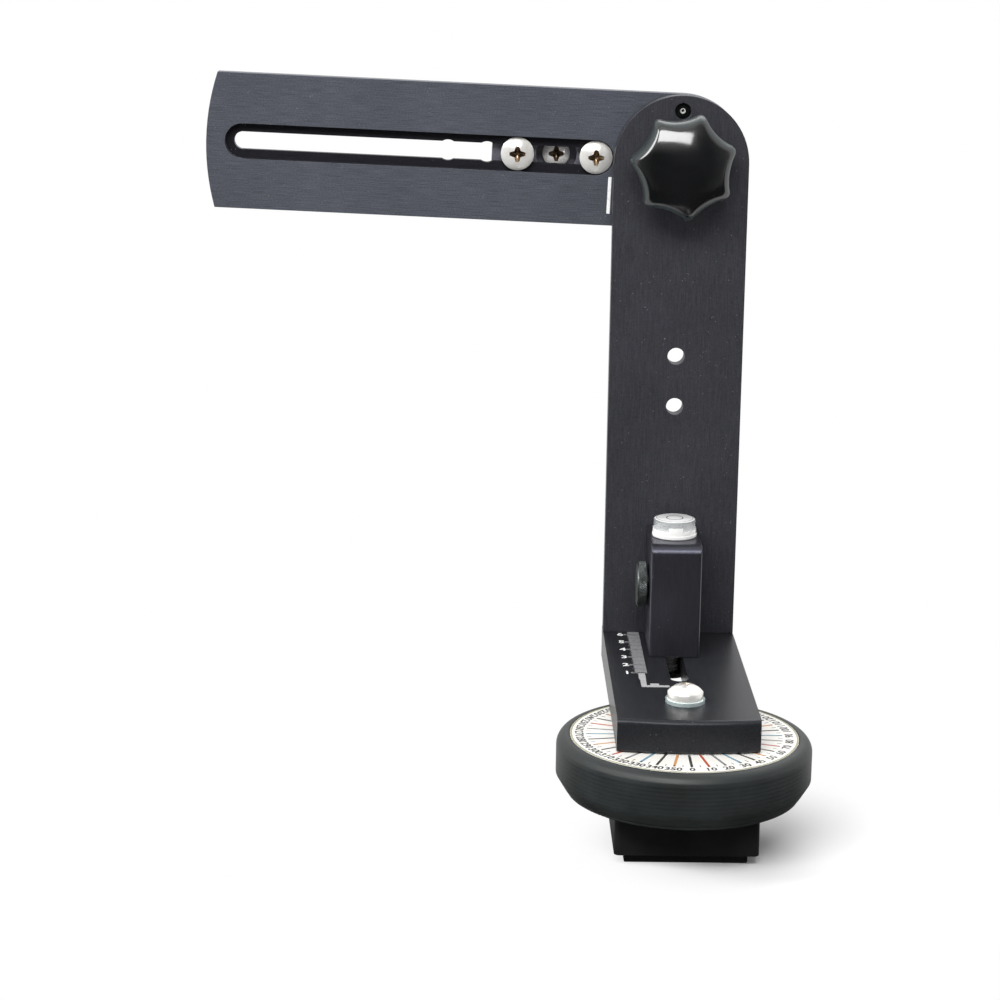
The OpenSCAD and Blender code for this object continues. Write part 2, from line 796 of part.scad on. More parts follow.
// Bolt on the tilt axis, with its flat head let into the bracket's back
module tilt_bolt() {
    color("#b9bbbd")
        on_bracket() {
            bar_y(bracket_back - bolt_head_t, bracket_back - 0.2, bolt_head_d);
            bar_y(knob_seat - knob_insert_l, bracket_back - 0.2, screw_d);
        }
}

// Nylon washer between the upright and the bracket
module tilt_spacer() {
    color("#e4e4e0")
        on_bracket() translate([0, bracket_y, 0]) face_front()
            washer(2 * tilt_spacer_r, 2 * pass_hole_r, spacer_t);
}

// ---- Tilt knob ----

knob_washer_t = 1.2;
knob_insert_d = 11;
knob_insert_l = 12.5;
knob_seat = foot_y - 2 * slip - knob_washer_t;
knob_travel = knob_turns * thread_lead;

module knob_washer() {
    color("#c9cbcd")
        on_bracket() translate([0, foot_y - slip, 0]) face_front()
            washer(knob_washer_d, 2 * pass_hole_r, knob_washer_t);
}

// Points along an arc
function arc_points(centre, r, from, to, steps) =
    [for (k = [0 : steps]) centre + r * [cos(from + (to - from) * k / steps),
                                        sin(from + (to - from) * k / steps)]];

// Points turned about the origin
function turned(points, angle) =
    [for (p = points) [p.x * cos(angle) - p.y * sin(angle), p.x * sin(angle) + p.y * cos(angle)]];

// Outline of the lobes: round noses joined by hollows that are tangent to them
module lobed_outline(tip_r, waist_r, nose_r, n) {
    half = 180 / n;
    nose_at = tip_r - nose_r;
    hollow_r = (waist_r * waist_r + nose_at * nose_at - 2 * waist_r * nose_at * cos(half)
                - nose_r * nose_r) / (2 * (nose_r - waist_r + nose_at * cos(half)));
    hollow = (waist_r + hollow_r) * [cos(half), sin(half)];
    turn = atan2(hollow.y, hollow.x - nose_at);
    skip = 1;
    flat = 180;
    lobe = concat(arc_points([nose_at, 0], nose_r, -turn, turn - skip, 8),
                  arc_points(hollow, hollow_r, flat + turn, flat + skip + 2 * half - turn, 9));
    polygon([for (i = [0 : n - 1]) each turned(lobe, i * 2 * half)]);
}

// Domed star knob, moulded round its threaded insert
module tilt_knob() {
    dome_r = (knob_tip_r * knob_tip_r + knob_dome * knob_dome) / (2 * knob_dome);
    color("#17181a")
        on_bracket() translate([0, knob_seat, 0]) face_front() difference() {
            union() {
                cylinder(h = knob_hub_h + over, d = knob_hub_d);
                intersection() {
                    translate([0, 0, knob_hub_h]) linear_extrude(knob_h - knob_hub_h)
                        rotate(knob_phase)
                            lobed_outline(knob_tip_r, knob_waist_r, knob_nose_r, knob_lobes);
                    translate([0, 0, knob_h - dome_r]) sphere(r = dome_r, $fn = 180);
                }
            }
            translate([0, 0, -over]) cylinder(h = knob_insert_l + over, d = knob_insert_d);
        }
}

module knob_insert() {
    color("#a8aaac")
        on_bracket() translate([0, knob_seat, 0]) face_front()
            washer(knob_insert_d - 0.04, 2 * turn_hole_r, knob_insert_l);
}

// ---- Camera plate ----

clip_t = 0.8;
clip_d = 9;
clip_room = 1.4;
camera_neck_d = 5;
camera_shoulder_d = 7;

module camera_plate() {
    color("#46464d")
        on_bracket() difference() {
            translate([-camera_screw_at - plate_l / 2, plate_y, -plate_w / 2])
                cube([plate_l, plate_t, plate_w]);
            translate([-camera_screw_at, 0, 0]) {
                bar_y(plate_y - over, plate_y + camera_recess, camera_recess_d);
                bar_y(plate_y, plate_back + over, camera_shoulder_d + 2 * turn_gap);
                bar_y(plate_back - clip_room, plate_back + over, clip_d + 1);
            }
            for (at = [inner_screw_at, outer_screw_at]) translate([-at, 0, 0])
                bar_y(plate_y - over, plate_back - 1, screw_d + 0.04);
        }
}

// Rubber facing that the camera sits on
module plate_pad() {
    color("#232324")
        on_bracket() difference() {
            translate([-camera_screw_at - plate_l / 2, plate_back, -plate_w / 2])
                cube([plate_l, plate_pad_t, plate_w]);
            translate([-camera_screw_at, 0, 0])
                bar_y(plate_back - over, pad_back + over, clip_d + 1);
        }
}

// Two pan-head screws that clamp the plate along the slot
module plate_screws() {
    ledge_y = bracket_y + bracket_counterbore;
    color("#d3d5d7")
        on_bracket() for (at = [inner_screw_at, outer_screw_at]) translate([-at, 0, 0]) {
            translate([0, ledge_y - slip, 0]) face_front() pan_head(pan_head_d, pan_head_h);
            bar_y(ledge_y - slip - over, plate_back - 1.3, screw_d);
        }
}

// Camera screw, sunk in the plate and held there by a clip on its neck
module camera_screw() {
    head_y = plate_y + camera_recess - slip;
    color("#c6c8ca")
        on_bracket() translate([-camera_screw_at, 0, 0]) {
            translate([0, head_y, 0]) face_front() pan_head(camera_head_d, pan_head_h);
            bar_y(head_y - over, plate_back - clip_room, camera_shoulder_d);
            bar_y(head_y, pad_back + over, camera_neck_d);
            bar_y(pad_back, pad_back + camera_screw_out, screw_d);
        }
}

module camera_clip() {
    color("#7d7f82")
        on_bracket() translate([-camera_screw_at, plate_back - clip_room + clip_t + slip, 0])
            face_front() washer(clip_d, camera_neck_d + 0.04, clip_t);
}

// ---- Output ----

base_pad();
base_block();
tripod_bushing();
base_screws();
rotator_bowl();
rotator_ring();
ring_screws();
scale_disc();
slip_washer();
pivot_screw();
pivot_washer();
pivot_nut();
lower_arm();
pivot_bush();
upright();
foot_block();
block_screws();
foot_stud();
level_cup();
level_vial();
level_fluid();
plunger_body();
plunger_spring();
plunger_ball();
thumb_washer();
thumbscrew();
camera_bracket();
tilt_bolt();
tilt_spacer();
knob_washer();
tilt_knob();
knob_insert();
camera_plate();
plate_pad();
plate_screws();
camera_screw();
camera_clip();
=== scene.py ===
"""Looks of a panoramic tripod head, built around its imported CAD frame.

The CAD nodes stay as they are.  Where one needs finer detail, a copy of it or a new piece
stands for it: broken edges, cross recesses, a knurl, threads, a domed knob and a clear level.
The script prints the scales, gives every surface a procedural finish and sets up the camera
and a plain studio.  Lengths are in metres, and MM turns a size in millimetres into one.
The frame is the CAD's: the origin is the mouth of the tripod thread, +Z is up the pan axis and
+Y runs along the lower arm.
"""
import logging
import math
from dataclasses import dataclass
from enum import Enum
from typing import Any, Callable, Iterable

import bmesh
import bpy
from mathutils import Matrix, Vector


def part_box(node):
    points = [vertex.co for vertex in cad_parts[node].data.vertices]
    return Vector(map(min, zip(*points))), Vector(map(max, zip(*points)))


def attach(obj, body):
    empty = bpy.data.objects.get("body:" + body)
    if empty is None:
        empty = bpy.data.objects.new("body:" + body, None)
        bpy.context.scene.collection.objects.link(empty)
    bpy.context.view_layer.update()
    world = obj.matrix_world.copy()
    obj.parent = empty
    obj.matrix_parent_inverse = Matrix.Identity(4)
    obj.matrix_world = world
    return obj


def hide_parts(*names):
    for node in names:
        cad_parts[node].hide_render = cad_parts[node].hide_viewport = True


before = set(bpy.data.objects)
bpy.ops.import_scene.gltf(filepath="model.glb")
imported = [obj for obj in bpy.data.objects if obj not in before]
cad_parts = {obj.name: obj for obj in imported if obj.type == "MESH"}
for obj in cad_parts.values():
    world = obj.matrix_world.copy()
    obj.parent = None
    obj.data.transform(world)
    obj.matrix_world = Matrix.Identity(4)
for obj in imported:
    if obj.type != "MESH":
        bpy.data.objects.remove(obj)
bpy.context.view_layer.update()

log = logging.getLogger("head")
MM = 0.001
INCH = 25.4 * MM
FULL_TURN = 2 * math.pi
QUARTER_TURN = math.pi / 2
# Points nearer than this become one
MERGE = 0.002 * MM
# A ring smaller than this is a pole
POLE_R = 1e-9
# Brings the bands of a Wave texture close to the width asked for
WAVE_STEP = 3.14
# Faces that meet at more than this, in degrees, keep a sharp edge
SMOOTH_ANGLE = 32.0

Point = tuple[float, float, float]
Profile = list[tuple[float, float]]


class Body(str, Enum):
    """Bodies of the frame that carry pieces of this script."""

    BASE = "base"
    ARM = "arm"
    UPRIGHT = "upright"
    THUMBSCREW = "thumbscrew"
    BRACKET = "bracket"
    KNOB = "tilt_knob"
    PLATE = "camera_plate"
    CAMERA_SCREW = "camera_screw"


class Axis(Enum):
    """Directions of the frame."""

    X = 0
    Y = 1
    Z = 2


# ---- Colour and node helpers ----


def linear(hex_colour: str) -> tuple[float, float, float, float]:
    """Turn an sRGB hex colour into linear RGBA.

    Args:
        hex_colour: Six hex digits after a hash, such as "#3c3c40".

    Returns:
        The linear colour with an alpha of 1.
    """
    channels = [int(hex_colour[i : i + 2], 16) / 255 for i in (1, 3, 5)]
    lin = [c / 12.92 if c <= 0.04045 else ((c + 0.055) / 1.055) ** 2.4 for c in channels]
    return (lin[0], lin[1], lin[2], 1.0)


def wire(tree: bpy.types.NodeTree, node: bpy.types.Node,
         inputs: dict[str | int, Any]) -> None:
    """Set a node's inputs, or link them where a socket is given.

    Args:
        tree: The tree that holds the node.
        node: The node.
        inputs: Values or output sockets, by the input's name or place.
    """
    for key, value in inputs.items():
        if isinstance(value, bpy.types.NodeSocket):
            tree.links.new(value, node.inputs[key])
        else:
            node.inputs[key].default_value = value


def add(tree: bpy.types.NodeTree, kind: str, settings: dict[str, Any] | None = None,
        inputs: dict[str | int, Any] | None = None) -> bpy.types.Node:
    """Add a node with its settings, its input values and its links.

    Args:
        tree: The tree that takes the node.
        kind: The node's type, such as "ShaderNodeTexNoise".
        settings: Properties of the node.
        inputs: Values or output sockets, by the input's name or place.

    Returns:
        The new node.
    """
    node = tree.nodes.new(kind)
    for name, value in (settings or {}).items():
        setattr(node, name, value)
    wire(tree, node, inputs or {})
    return node


def ramp(tree: bpy.types.NodeTree, factor: bpy.types.NodeSocket,
         stops: list[tuple[float, tuple[float, float, float, float]]]) -> bpy.types.NodeSocket:
    """Add a colour ramp.

    Args:
        tree: The tree that takes the node.
        factor: The socket that drives the ramp.
        stops: Places from 0 to 1 and their linear colours, in order.

    Returns:
        The ramp's colour socket.
    """
    node = add(tree, "ShaderNodeValToRGB", inputs={"Fac": factor})
    elements = node.color_ramp.elements
    while len(elements) < len(stops):
        elements.new(1.0)
    for element, (place, colour) in zip(elements, stops):
        element.position = place
        element.color = colour
    return node.outputs["Color"]


def grey(level: float) -> tuple[float, float, float, float]:
    """Give the linear grey of a level from 0 to 1."""
    return (level, level, level, 1.0)


# ---- Finishes ----


@dataclass(frozen=True)
class Finish:
    """What every finish has: a name, a colour and a roughness."""

    name: str
    colour: str
    roughness: float = 0.5

    def start(self) -> tuple[bpy.types.Material, bpy.types.NodeTree, bpy.types.Node,
                             bpy.types.NodeSocket]:
        """Make the material with its shader.

        Returns:
            The material, its tree, its shader and the socket of the object coordinates.
        """
        material = bpy.data.materials.new(self.name)
        material.use_nodes = True
        tree = material.node_tree
        tree.nodes.clear()
        shader = add(tree, "ShaderNodeBsdfPrincipled",
                     inputs={"Base Color": linear(self.colour), "Roughness": self.roughness})
        add(tree, "ShaderNodeOutputMaterial", inputs={"Surface": shader.outputs[0]})
        place = add(tree, "ShaderNodeTexCoord").outputs["Object"]
        return material, tree, shader, place

    def build(self) -> bpy.types.Material:
        """Make the material.

        Returns:
            The new material.
        """
        raise NotImplementedError


@dataclass(frozen=True)
class Anodising(Finish):
    """Black anodised aluminium bar, brushed before it was dyed.

    The oxide is a thin dyed glassy layer over metal, so the surface is dark and slightly
    violet, with a broad soft sheen, hair-fine grain along the bar and a few pale specks
    where the oxide is chipped.  Real brush lines are too fine to show in the render, so they
    are drawn as coarse as they need to be, a quarter to a third of a millimetre wide.
    """

    pale: str = "#55555d"
    along: Axis = Axis.Z
    tilt: float = 0.0
    grain_w: float = 0.35 * MM
    grain_l: float = 9 * MM
    fleck: float = 1.1 * MM
    fleck_r: float = 0.16
    fleck_gap: float = 3.1 * MM
    fleck_share: float = 0.05
    fleck_colour: str = "#a9a9b0"
    cloud: float = 30 * MM
    grit: float = 0.5 * MM
    metallic: float = 0.35
    specular: float = 0.5
    sheen_tint: str = "#dededf"
    relief: float = 0.05 * MM

    def build(self) -> bpy.types.Material:
        """Make the material.

        Returns:
            The new material.
        """
        material, tree, shader, place = self.start()
        scale = [1 / self.grain_w] * 3
        scale[self.along.value] = 1 / self.grain_l
        stretched = add(tree, "ShaderNodeMapping",
                        inputs={"Vector": add(tree, "ShaderNodeMapping", inputs={
                            "Vector": place, "Rotation": (0.0, -self.tilt, 0.0)}).outputs[0],
                                "Scale": scale})
        grain = add(tree, "ShaderNodeTexNoise",
                    inputs={"Vector": stretched.outputs[0], "Scale": 1.0, "Detail": 5.0,
                            "Roughness": 0.65})
        cloud = add(tree, "ShaderNodeTexNoise",
                    inputs={"Vector": place, "Scale": 1 / self.cloud, "Detail": 3.0})
        grit = add(tree, "ShaderNodeTexNoise",
                   inputs={"Vector": place, "Scale": 1 / self.grit, "Detail": 2.0})
        tone = add(tree, "ShaderNodeMath", {"operation": "MULTIPLY_ADD"},
                   {0: grit.outputs["Fac"], 1: 0.4, 2: add(
                       tree, "ShaderNodeMath", {"operation": "MULTIPLY"},
                       {0: grain.outputs["Fac"], 1: 0.65}).outputs[0]})
        brushed = ramp(tree, tone.outputs[0],
                       [(0.36, linear(self.colour)), (0.7, linear(self.pale))])
        clouded = add(tree, "ShaderNodeMixRGB", {"blend_type": "MULTIPLY"},
                      {"Fac": 0.35, "Color1": brushed, "Color2": ramp(
                          tree, cloud.outputs["Fac"], [(0.3, grey(0.62)), (0.7, grey(1.0))])})
        flecks = add(tree, "ShaderNodeTexVoronoi",
                     inputs={"Vector": place, "Scale": 1 / self.fleck})
        rare = add(tree, "ShaderNodeTexNoise",
                   inputs={"Vector": place, "Scale": 1 / self.fleck_gap, "Detail": 1.0})
        dots = add(tree, "ShaderNodeMath", {"operation": "LESS_THAN"},
                   {0: flecks.outputs["Distance"], 1: self.fleck_r})
        chosen = add(tree, "ShaderNodeMath", {"operation": "GREATER_THAN"},
                     {0: rare.outputs["Fac"], 1: 0.7 - self.fleck_share})
        mask = add(tree, "ShaderNodeMath", {"operation": "MULTIPLY"},
                   {0: dots.outputs[0], 1: chosen.outputs[0]})
        soft = add(tree, "ShaderNodeMath", {"operation": "MULTIPLY"},
                   {0: mask.outputs[0], 1: 0.35})
        colour = add(tree, "ShaderNodeMixRGB",
                     inputs={"Fac": soft.outputs[0], "Color1": clouded.outputs[0],
                             "Color2": linear(self.fleck_colour)})
        rough = add(tree, "ShaderNodeMapRange",
                    inputs={"Value": grain.outputs["Fac"], "To Min": self.roughness - 0.07,
                            "To Max": self.roughness + 0.1})
        bump = add(tree, "ShaderNodeBump",
                   inputs={"Strength": 0.25, "Distance": self.relief,
                           "Height": tone.outputs[0]})
        wire(tree, shader, {
            "Base Color": colour.outputs[0], "Roughness": rough.outputs[0],
            "Metallic": self.metallic, "Specular IOR Level": self.specular,
            "Specular Tint": linear(self.sheen_tint), "Normal": bump.outputs[0]})
        return material


@dataclass(frozen=True)
class Moulded(Finish):
    """Injection-moulded polymer or rubber: one colour through, with the mould's own grain.

    The grain shows as a fine matte tooth, and handling leaves slightly shinier patches.  Bands
    are the faint rings that a turned mould leaves, as wide as the field says.  A real mould's
    tooth is too fine to show in the render, so it is drawn as coarse as it needs to be.  On the
    polished knob the grain stands for the slow ripple that buffing leaves.
    """

    pale: str = "#000000"
    grain: float = 0.5 * MM
    relief: float = 0.04 * MM
    patch: float = 18 * MM
    bands: float = 0.0
    specular: float = 0.5

    def build(self) -> bpy.types.Material:
        """Make the material.

        Returns:
            The new material.
        """
        material, tree, shader, place = self.start()
        tooth = add(tree, "ShaderNodeTexNoise",
                    inputs={"Vector": place, "Scale": 1 / self.grain, "Detail": 4.0,
                            "Roughness": 0.6})
        patches = add(tree, "ShaderNodeTexNoise",
                      inputs={"Vector": place, "Scale": 1 / self.patch, "Detail": 3.0})
        colour = ramp(tree, patches.outputs["Fac"],
                      [(0.3, linear(self.colour)), (0.72, linear(self.pale))])
        mixed = add(tree, "ShaderNodeMath", {"operation": "MULTIPLY_ADD"},
                    {0: patches.outputs["Fac"], 1: 0.7, 2: add(
                        tree, "ShaderNodeMath", {"operation": "MULTIPLY"},
                        {0: tooth.outputs["Fac"], 1: 0.3}).outputs[0]})
        rough = add(tree, "ShaderNodeMapRange",
                    inputs={"Value": mixed.outputs[0], "From Min": 0.3, "From Max": 0.7,
                            "To Min": self.roughness - 0.06, "To Max": self.roughness + 0.06})
        height = tooth.outputs["Fac"]
        if self.bands:
            ridges = add(tree, "ShaderNodeTexWave",
                         {"wave_type": "BANDS", "bands_direction": "Z"},
                         {"Vector": place, "Scale": 1 / (self.bands * WAVE_STEP),
                          "Distortion": 0.4, "Detail": 1.0})
            height = add(tree, "ShaderNodeMath", {"operation": "MULTIPLY_ADD"},
                         {0: ridges.outputs["Fac"], 1: 1.6, 2: height}).outputs[0]
        bump = add(tree, "ShaderNodeBump",
                   inputs={"Strength": 0.5, "Distance": self.relief, "Height": height})
        wire(tree, shader, {"Base Color": colour, "Roughness": rough.outputs[0],
                            "Normal": bump.outputs[0], "Specular IOR Level": self.specular})
        return material


@dataclass(frozen=True)
class Metal(Finish):
    """Plated or turned metal: a mirror-like film over machined steel or brass.

    Fine tool marks follow the turning and break the highlight, and the stains are dull.  Real
    marks are too fine to show in the render, so they are drawn as coarse as they need to be.
    """

    dull: str = "#8a8680"
    metallic: float = 1.0
    marks: float = 0.12 * MM
    stain: float = 2.5 * MM
    along: Axis = Axis.Y
    relief: float = 0.01 * MM

    def build(self) -> bpy.types.Material:
        """Make the material.

        Returns:
            The new material.
        """
        material, tree, shader, place = self.start()
        scale = [1 / self.marks] * 3
        scale[self.along.value] = 1 / (12 * self.marks)
        stretched = add(tree, "ShaderNodeMapping", inputs={"Vector": place, "Scale": scale})
        marks = add(tree, "ShaderNodeTexNoise",
                    inputs={"Vector": stretched.outputs[0], "Scale": 1.0, "Detail": 3.0})
        stain = add(tree, "ShaderNodeTexNoise",
                    inputs={"Vector": place, "Scale": 1 / self.stain, "Detail": 4.0})
        colour = ramp(tree, stain.outputs["Fac"],
                      [(0.35, linear(self.dull)), (0.55, linear(self.colour))])
        rough = add(tree, "ShaderNodeMapRange",
                    inputs={"Value": stain.outputs["Fac"], "From Min": 0.3, "From Max": 0.7,
                            "To Min": self.roughness + 0.08, "To Max": self.roughness})
        bump = add(tree, "ShaderNodeBump",
                   inputs={"Strength": 0.3, "Distance": self.relief,
                           "Height": marks.outputs["Fac"]})
        wire(tree, shader, {"Base Color": colour, "Roughness": rough.outputs[0],
                            "Metallic": self.metallic, "Normal": bump.outputs[0]})
        return material


@dataclass(frozen=True)
class Print(Finish):
    """Screen-printed ink or printed film: an even colour with a slightly uneven lay."""

    worn: str = "#9a9a9c"
    wear: float = 1.2 * MM

    def build(self) -> bpy.types.Material:
        """Make the material.

        Returns:
            The new material.
        """
        material, tree, shader, place = self.start()
        lay = add(tree, "ShaderNodeTexNoise",
                  inputs={"Vector": place, "Scale": 1 / self.wear, "Detail": 4.0})
        colour = ramp(tree, lay.outputs["Fac"],
                      [(0.28, linear(self.worn)), (0.5, linear(self.colour))])
        rough = add(tree, "ShaderNodeMapRange",
                    inputs={"Value": lay.outputs["Fac"], "To Min": self.roughness + 0.1,
                            "To Max": self.roughness - 0.1})
        wire(tree, shader, {"Base Color": colour, "Roughness": rough.outputs[0]})
        return material


@dataclass(frozen=True)
class Clear(Finish):
    """Clear cast acrylic, thin enough that light passes it without a visible bend."""

    alpha: float = 0.3
    wave: float = 4 * MM
    waviness: float = 0.01 * MM

    def build(self) -> bpy.types.Material:
        """Make the material.

        Returns:
            The new material.
        """
        material, tree, shader, place = self.start()
        waves = add(tree, "ShaderNodeTexNoise",
                    inputs={"Vector": place, "Scale": 1 / self.wave, "Detail": 1.0})
        tint = ramp(tree, waves.outputs["Fac"],
                    [(0.3, linear(self.colour)), (0.7, grey(1.0))])
        bump = add(tree, "ShaderNodeBump",
                   inputs={"Strength": 0.15, "Distance": self.waviness,
                           "Height": waves.outputs["Fac"]})
        wire(tree, shader, {"Base Color": tint, "Alpha": self.alpha,
                            "Normal": bump.outputs[0]})
        return material


TILT_REST = math.radians(2.0)

# Black anodised aluminium.  The brushed bars look dark slate with hair-fine grain, and the bracket
# is the palest of them.  The sunk faces of the bracket's slot are painted darker and even, as
# shade.
ARM_BAR = Anodising("anodised_bar_arm", "#1c1d20", 0.33, pale="#313236", along=Axis.Y,
                    metallic=0.2, specular=0.35)
UPRIGHT_BAR = Anodising("anodised_bar_upright", "#323339", 0.45, pale="#47474d", along=Axis.Z)
BRACKET_BAR = Anodising("anodised_bar_bracket", "#41444c", 0.43, pale="#666973",
                        along=Axis.X, tilt=TILT_REST, grain_w=0.25 * MM)
# Painted shade for the sunk faces of the bracket's slot
SLOT_SHADE = Anodising("slot_painted_shade", "#14141a", 0.5, pale="#22222a", along=Axis.X,
                      tilt=TILT_REST, fleck_share=0.0)
BLOCK_ANODISED = Anodising("anodised_block", "#1d1d20", 0.3, pale="#303035", along=Axis.Z,
                           fleck_share=0.0, specular=1.0, metallic=0.1,
                           sheen_tint="#cfcfe8")
PLATE_ANODISED = Anodising("anodised_plate", "#67666f", 0.4, pale="#7d7c86", along=Axis.X,
                           tilt=TILT_REST, fleck_share=0.0)
# Moulded polymers and rubber.  The shells are a soft black with faint rings, the base and the
# rubber drink the light, the phenolic knob is polished like a piano key, with a rougher rim whose
# greyish colour is a painted reflection of the pale room, and the level's cup is an opaque white.
SHELL = Moulded("moulded_shell", "#171b1b", 0.52, pale="#222727", bands=1.5 * MM)
BASE_PLASTIC = Moulded("moulded_base", "#080808", 0.55, pale="#101010")
RUBBER = Moulded("black_rubber", "#080808", 0.75, pale="#111111", grain=0.35 * MM)
KNOB_PLASTIC = Moulded("phenolic_knob", "#0a0b0c", 0.14, pale="#111214", grain=2.5 * MM,
                       relief=0.005 * MM, specular=0.9)
# The knob's rim: rougher, and greyer as a painted reflection of the pale room
KNOB_RIM_SHEEN = Moulded("phenolic_rim_painted_sheen", "#2c3233", 0.36, pale="#343b3c", grain=2.5 * MM,
                   relief=0.005 * MM)
NYLON_BLACK = Moulded("black_nylon", "#131314", 0.5, pale="#1c1c1d")
NYLON = Moulded("natural_nylon", "#dcdcd4", 0.45, pale="#e8e8e2")
LEVEL_WHITE = Moulded("white_cup", "#f2f2f0", 0.3, pale="#f7f7f5", relief=0.01 * MM)
# Metals.  Nickel plate is near white and smooth, with cross recesses painted brown as the shade in
# them, paler where a recess is shallow.  Zinc is a cooler grey, blacked steel is nearly matt, and
# bronze is warm.
NICKEL = Metal("satin_nickel", "#fffdf9", 0.12, dull="#f6f3ed", metallic=0.5, relief=0.0)
# A more diffuse white copy of the nickel, painted light for the camera screw that sits in the
# slot's shade
NICKEL_LIT = Metal("nickel_painted_light", "#fffefb", 0.22, dull="#f2efe9", metallic=0.25)
# Painted glints: the clamp stud's thread is near white
THREAD_GLINT = Metal("thread_painted_glint", "#f4f4f0", 0.25, dull="#c4c4c0", metallic=0.2)
NICKEL_WASHER = Metal("nickel_washer", "#dcecec", 0.22, dull="#c3d2d2", metallic=0.5)
# Painted shade: the clamp stud's head and shank are dark
STUD_SHADE = Metal("stud_painted_shade", "#3a3a38", 0.4, dull="#232322", along=Axis.Z)
# Painted shade in the cross recesses: darker in the deep ones, paler in the shallow one
RECESS_SHADE = Metal("recess_painted_shade", "#a8957a", 0.3, dull="#5f5240", marks=0.3 * MM)
RECESS_SHADE_PALE = Metal("shallow_recess_painted_shade", "#cfc6b8", 0.3, dull="#8f8676", marks=0.3 * MM)
ZINC = Metal("zinc_plate", "#a9acae", 0.3, dull="#8d9092")
BLACK_OXIDE = Metal("black_oxide_steel", "#646867", 0.4, dull="#4c504f", marks=0.5 * MM)
PLUNGER_STEEL = Metal("plunger_steel", "#2c2f2f", 0.35, dull="#171919", marks=0.5 * MM)
BRONZE = Metal("turned_bronze", "#b08a52", 0.3, dull="#8a6a3c")
# Printed film and screen inks.  The inks are a little faded, as old prints are.
CARD = Print("printed_disc", "#fffdf8", 0.35, worn="#fdf9ee", wear=6 * MM)
INK_WHITE = Print("white_ink", "#f6f6f6", 0.55, worn="#dededf")
INK_GREY = Print("grey_ink", "#8b8b8d", 0.55, worn="#77777a")
INK_PALE = Print("pale_ink", "#b4b4b6", 0.55, worn="#9a9a9c")
INK_BLACK = Print("black_ink", "#3b3a38", 0.5, worn="#55534e")
INK_RED = Print("red_ink", "#c0563d", 0.5, worn="#cb7862")
INK_ORANGE = Print("orange_ink", "#cf955a", 0.5, worn="#d8ac80")
INK_BLUE = Print("blue_ink", "#6f98ad", 0.5, worn="#90b1c1")
INK_RIM = Print("rim_ink", "#a9a688", 0.5, worn="#8f8c6c")
# Clear acrylic.  The level's side is glassy, its top looks nearly white, as it shows the card
# below, and the bubble is a faint bright lens.
ACRYLIC = Clear("clear_acrylic", "#d3dcdf", 0.08, alpha=0.3)
ACRYLIC_TOP = Clear("acrylic_top", "#ffffff", 0.06, alpha=0.9)
BUBBLE = Clear("air_bubble", "#f6fbfb", 0.03, alpha=0.45)

_built: dict[str, bpy.types.Material] = {}


def material_of(finish: Finish) -> bpy.types.Material:
    """Give the finish's material, which is made once.

    Args:
        finish: The finish.

    Returns:
        Its material.
    """
    if finish.name not in _built:
        _built[finish.name] = finish.build()
    return _built[finish.name]


# ---- Mesh helpers ----


def corners(node: str) -> tuple[Vector, Vector]:
    """Give a CAD node's corners at rest.

    Args:
        node: The CAD node.

    Returns:
        Its lowest and its highest corner.
    """
    low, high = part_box(node)
    return Vector(low), Vector(high)


def mesh_of(work: bmesh.types.BMesh, name: str) -> bpy.types.Mesh:
    """Turn an edited mesh into a new one and free it.

    Args:
        work: The edited mesh.
        name: The new mesh's name.

    Returns:
        The new mesh.
    """
    mesh = bpy.data.meshes.new(name)
    work.to_mesh(mesh)
    work.free()
    return mesh


def bridge(work: bmesh.types.BMesh, rings: list[list[bmesh.types.BMVert]]) -> None:
    """Join each ring of points to the next one with faces.

    Args:
        work: The mesh that holds the points.
        rings: Closed rings with as many points each.
    """
    for near, far in zip(rings, rings[1:]):
        for k in range(len(near)):
            after = (k + 1) % len(near)
            work.faces.new([near[k], near[after], far[after], far[k]])


def coated(mesh: bpy.types.Mesh, finish: Finish) -> bpy.types.Mesh:
    """Give a mesh one finish in place of what it has.

    Args:
        mesh: The mesh.
        finish: Its finish.

    Returns:
        The same mesh.
    """
    mesh.materials.clear()
    mesh.materials.append(material_of(finish))
    return mesh


def new_piece(name: str, mesh: bpy.types.Mesh, finish: Finish,
              body: Body) -> bpy.types.Object:
    """Put a finished mesh in the scene as a piece that rides on a body.

    Args:
        name: The piece's name.
        mesh: Its mesh, already in place.
        finish: Its finish.
        body: The CAD body that it moves with.

    Returns:
        The new object.
    """
    piece = bpy.data.objects.new(name, mesh)
    bpy.context.scene.collection.objects.link(piece)
    if not mesh.materials:
        mesh.materials.append(material_of(finish))
    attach(piece, body.value)
    log.info("%s: %d faces on %s", name, len(mesh.polygons), body.value)
    return piece


def merged(node: str) -> bpy.types.Mesh:
    """Copy a CAD node's mesh, with its doubles merged and its flat faces joined.

    Args:
        node: The CAD node.

    Returns:
        The new mesh.
    """
    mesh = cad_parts[node].data.copy()
    mesh.materials.clear()
    work = bmesh.new()
    work.from_mesh(mesh)
    bmesh.ops.remove_doubles(work, verts=work.verts, dist=MERGE)
    bmesh.ops.dissolve_limit(work, angle_limit=math.radians(0.2), verts=work.verts,
                             edges=work.edges)
    bmesh.ops.dissolve_degenerate(work, dist=MERGE, edges=work.edges)
    work.to_mesh(mesh)
    work.free()
    for name in [a.name for a in mesh.attributes if a.name in ("custom_normal", "sharp_edge")]:
        mesh.attributes.remove(mesh.attributes[name])
    return mesh


def settle(mesh: bpy.types.Mesh, angle: float = SMOOTH_ANGLE) -> bpy.types.Mesh:
    """Shade a mesh smooth except at its sharp edges.

    Args:
        mesh: The mesh.
        angle: Angle between faces past which an edge is sharp, in degrees.

    Returns:
        The same mesh.
    """
    mesh.polygons.foreach_set("use_smooth", [True] * len(mesh.polygons))
    mesh.set_sharp_from_angle(angle=math.radians(angle))
    return mesh


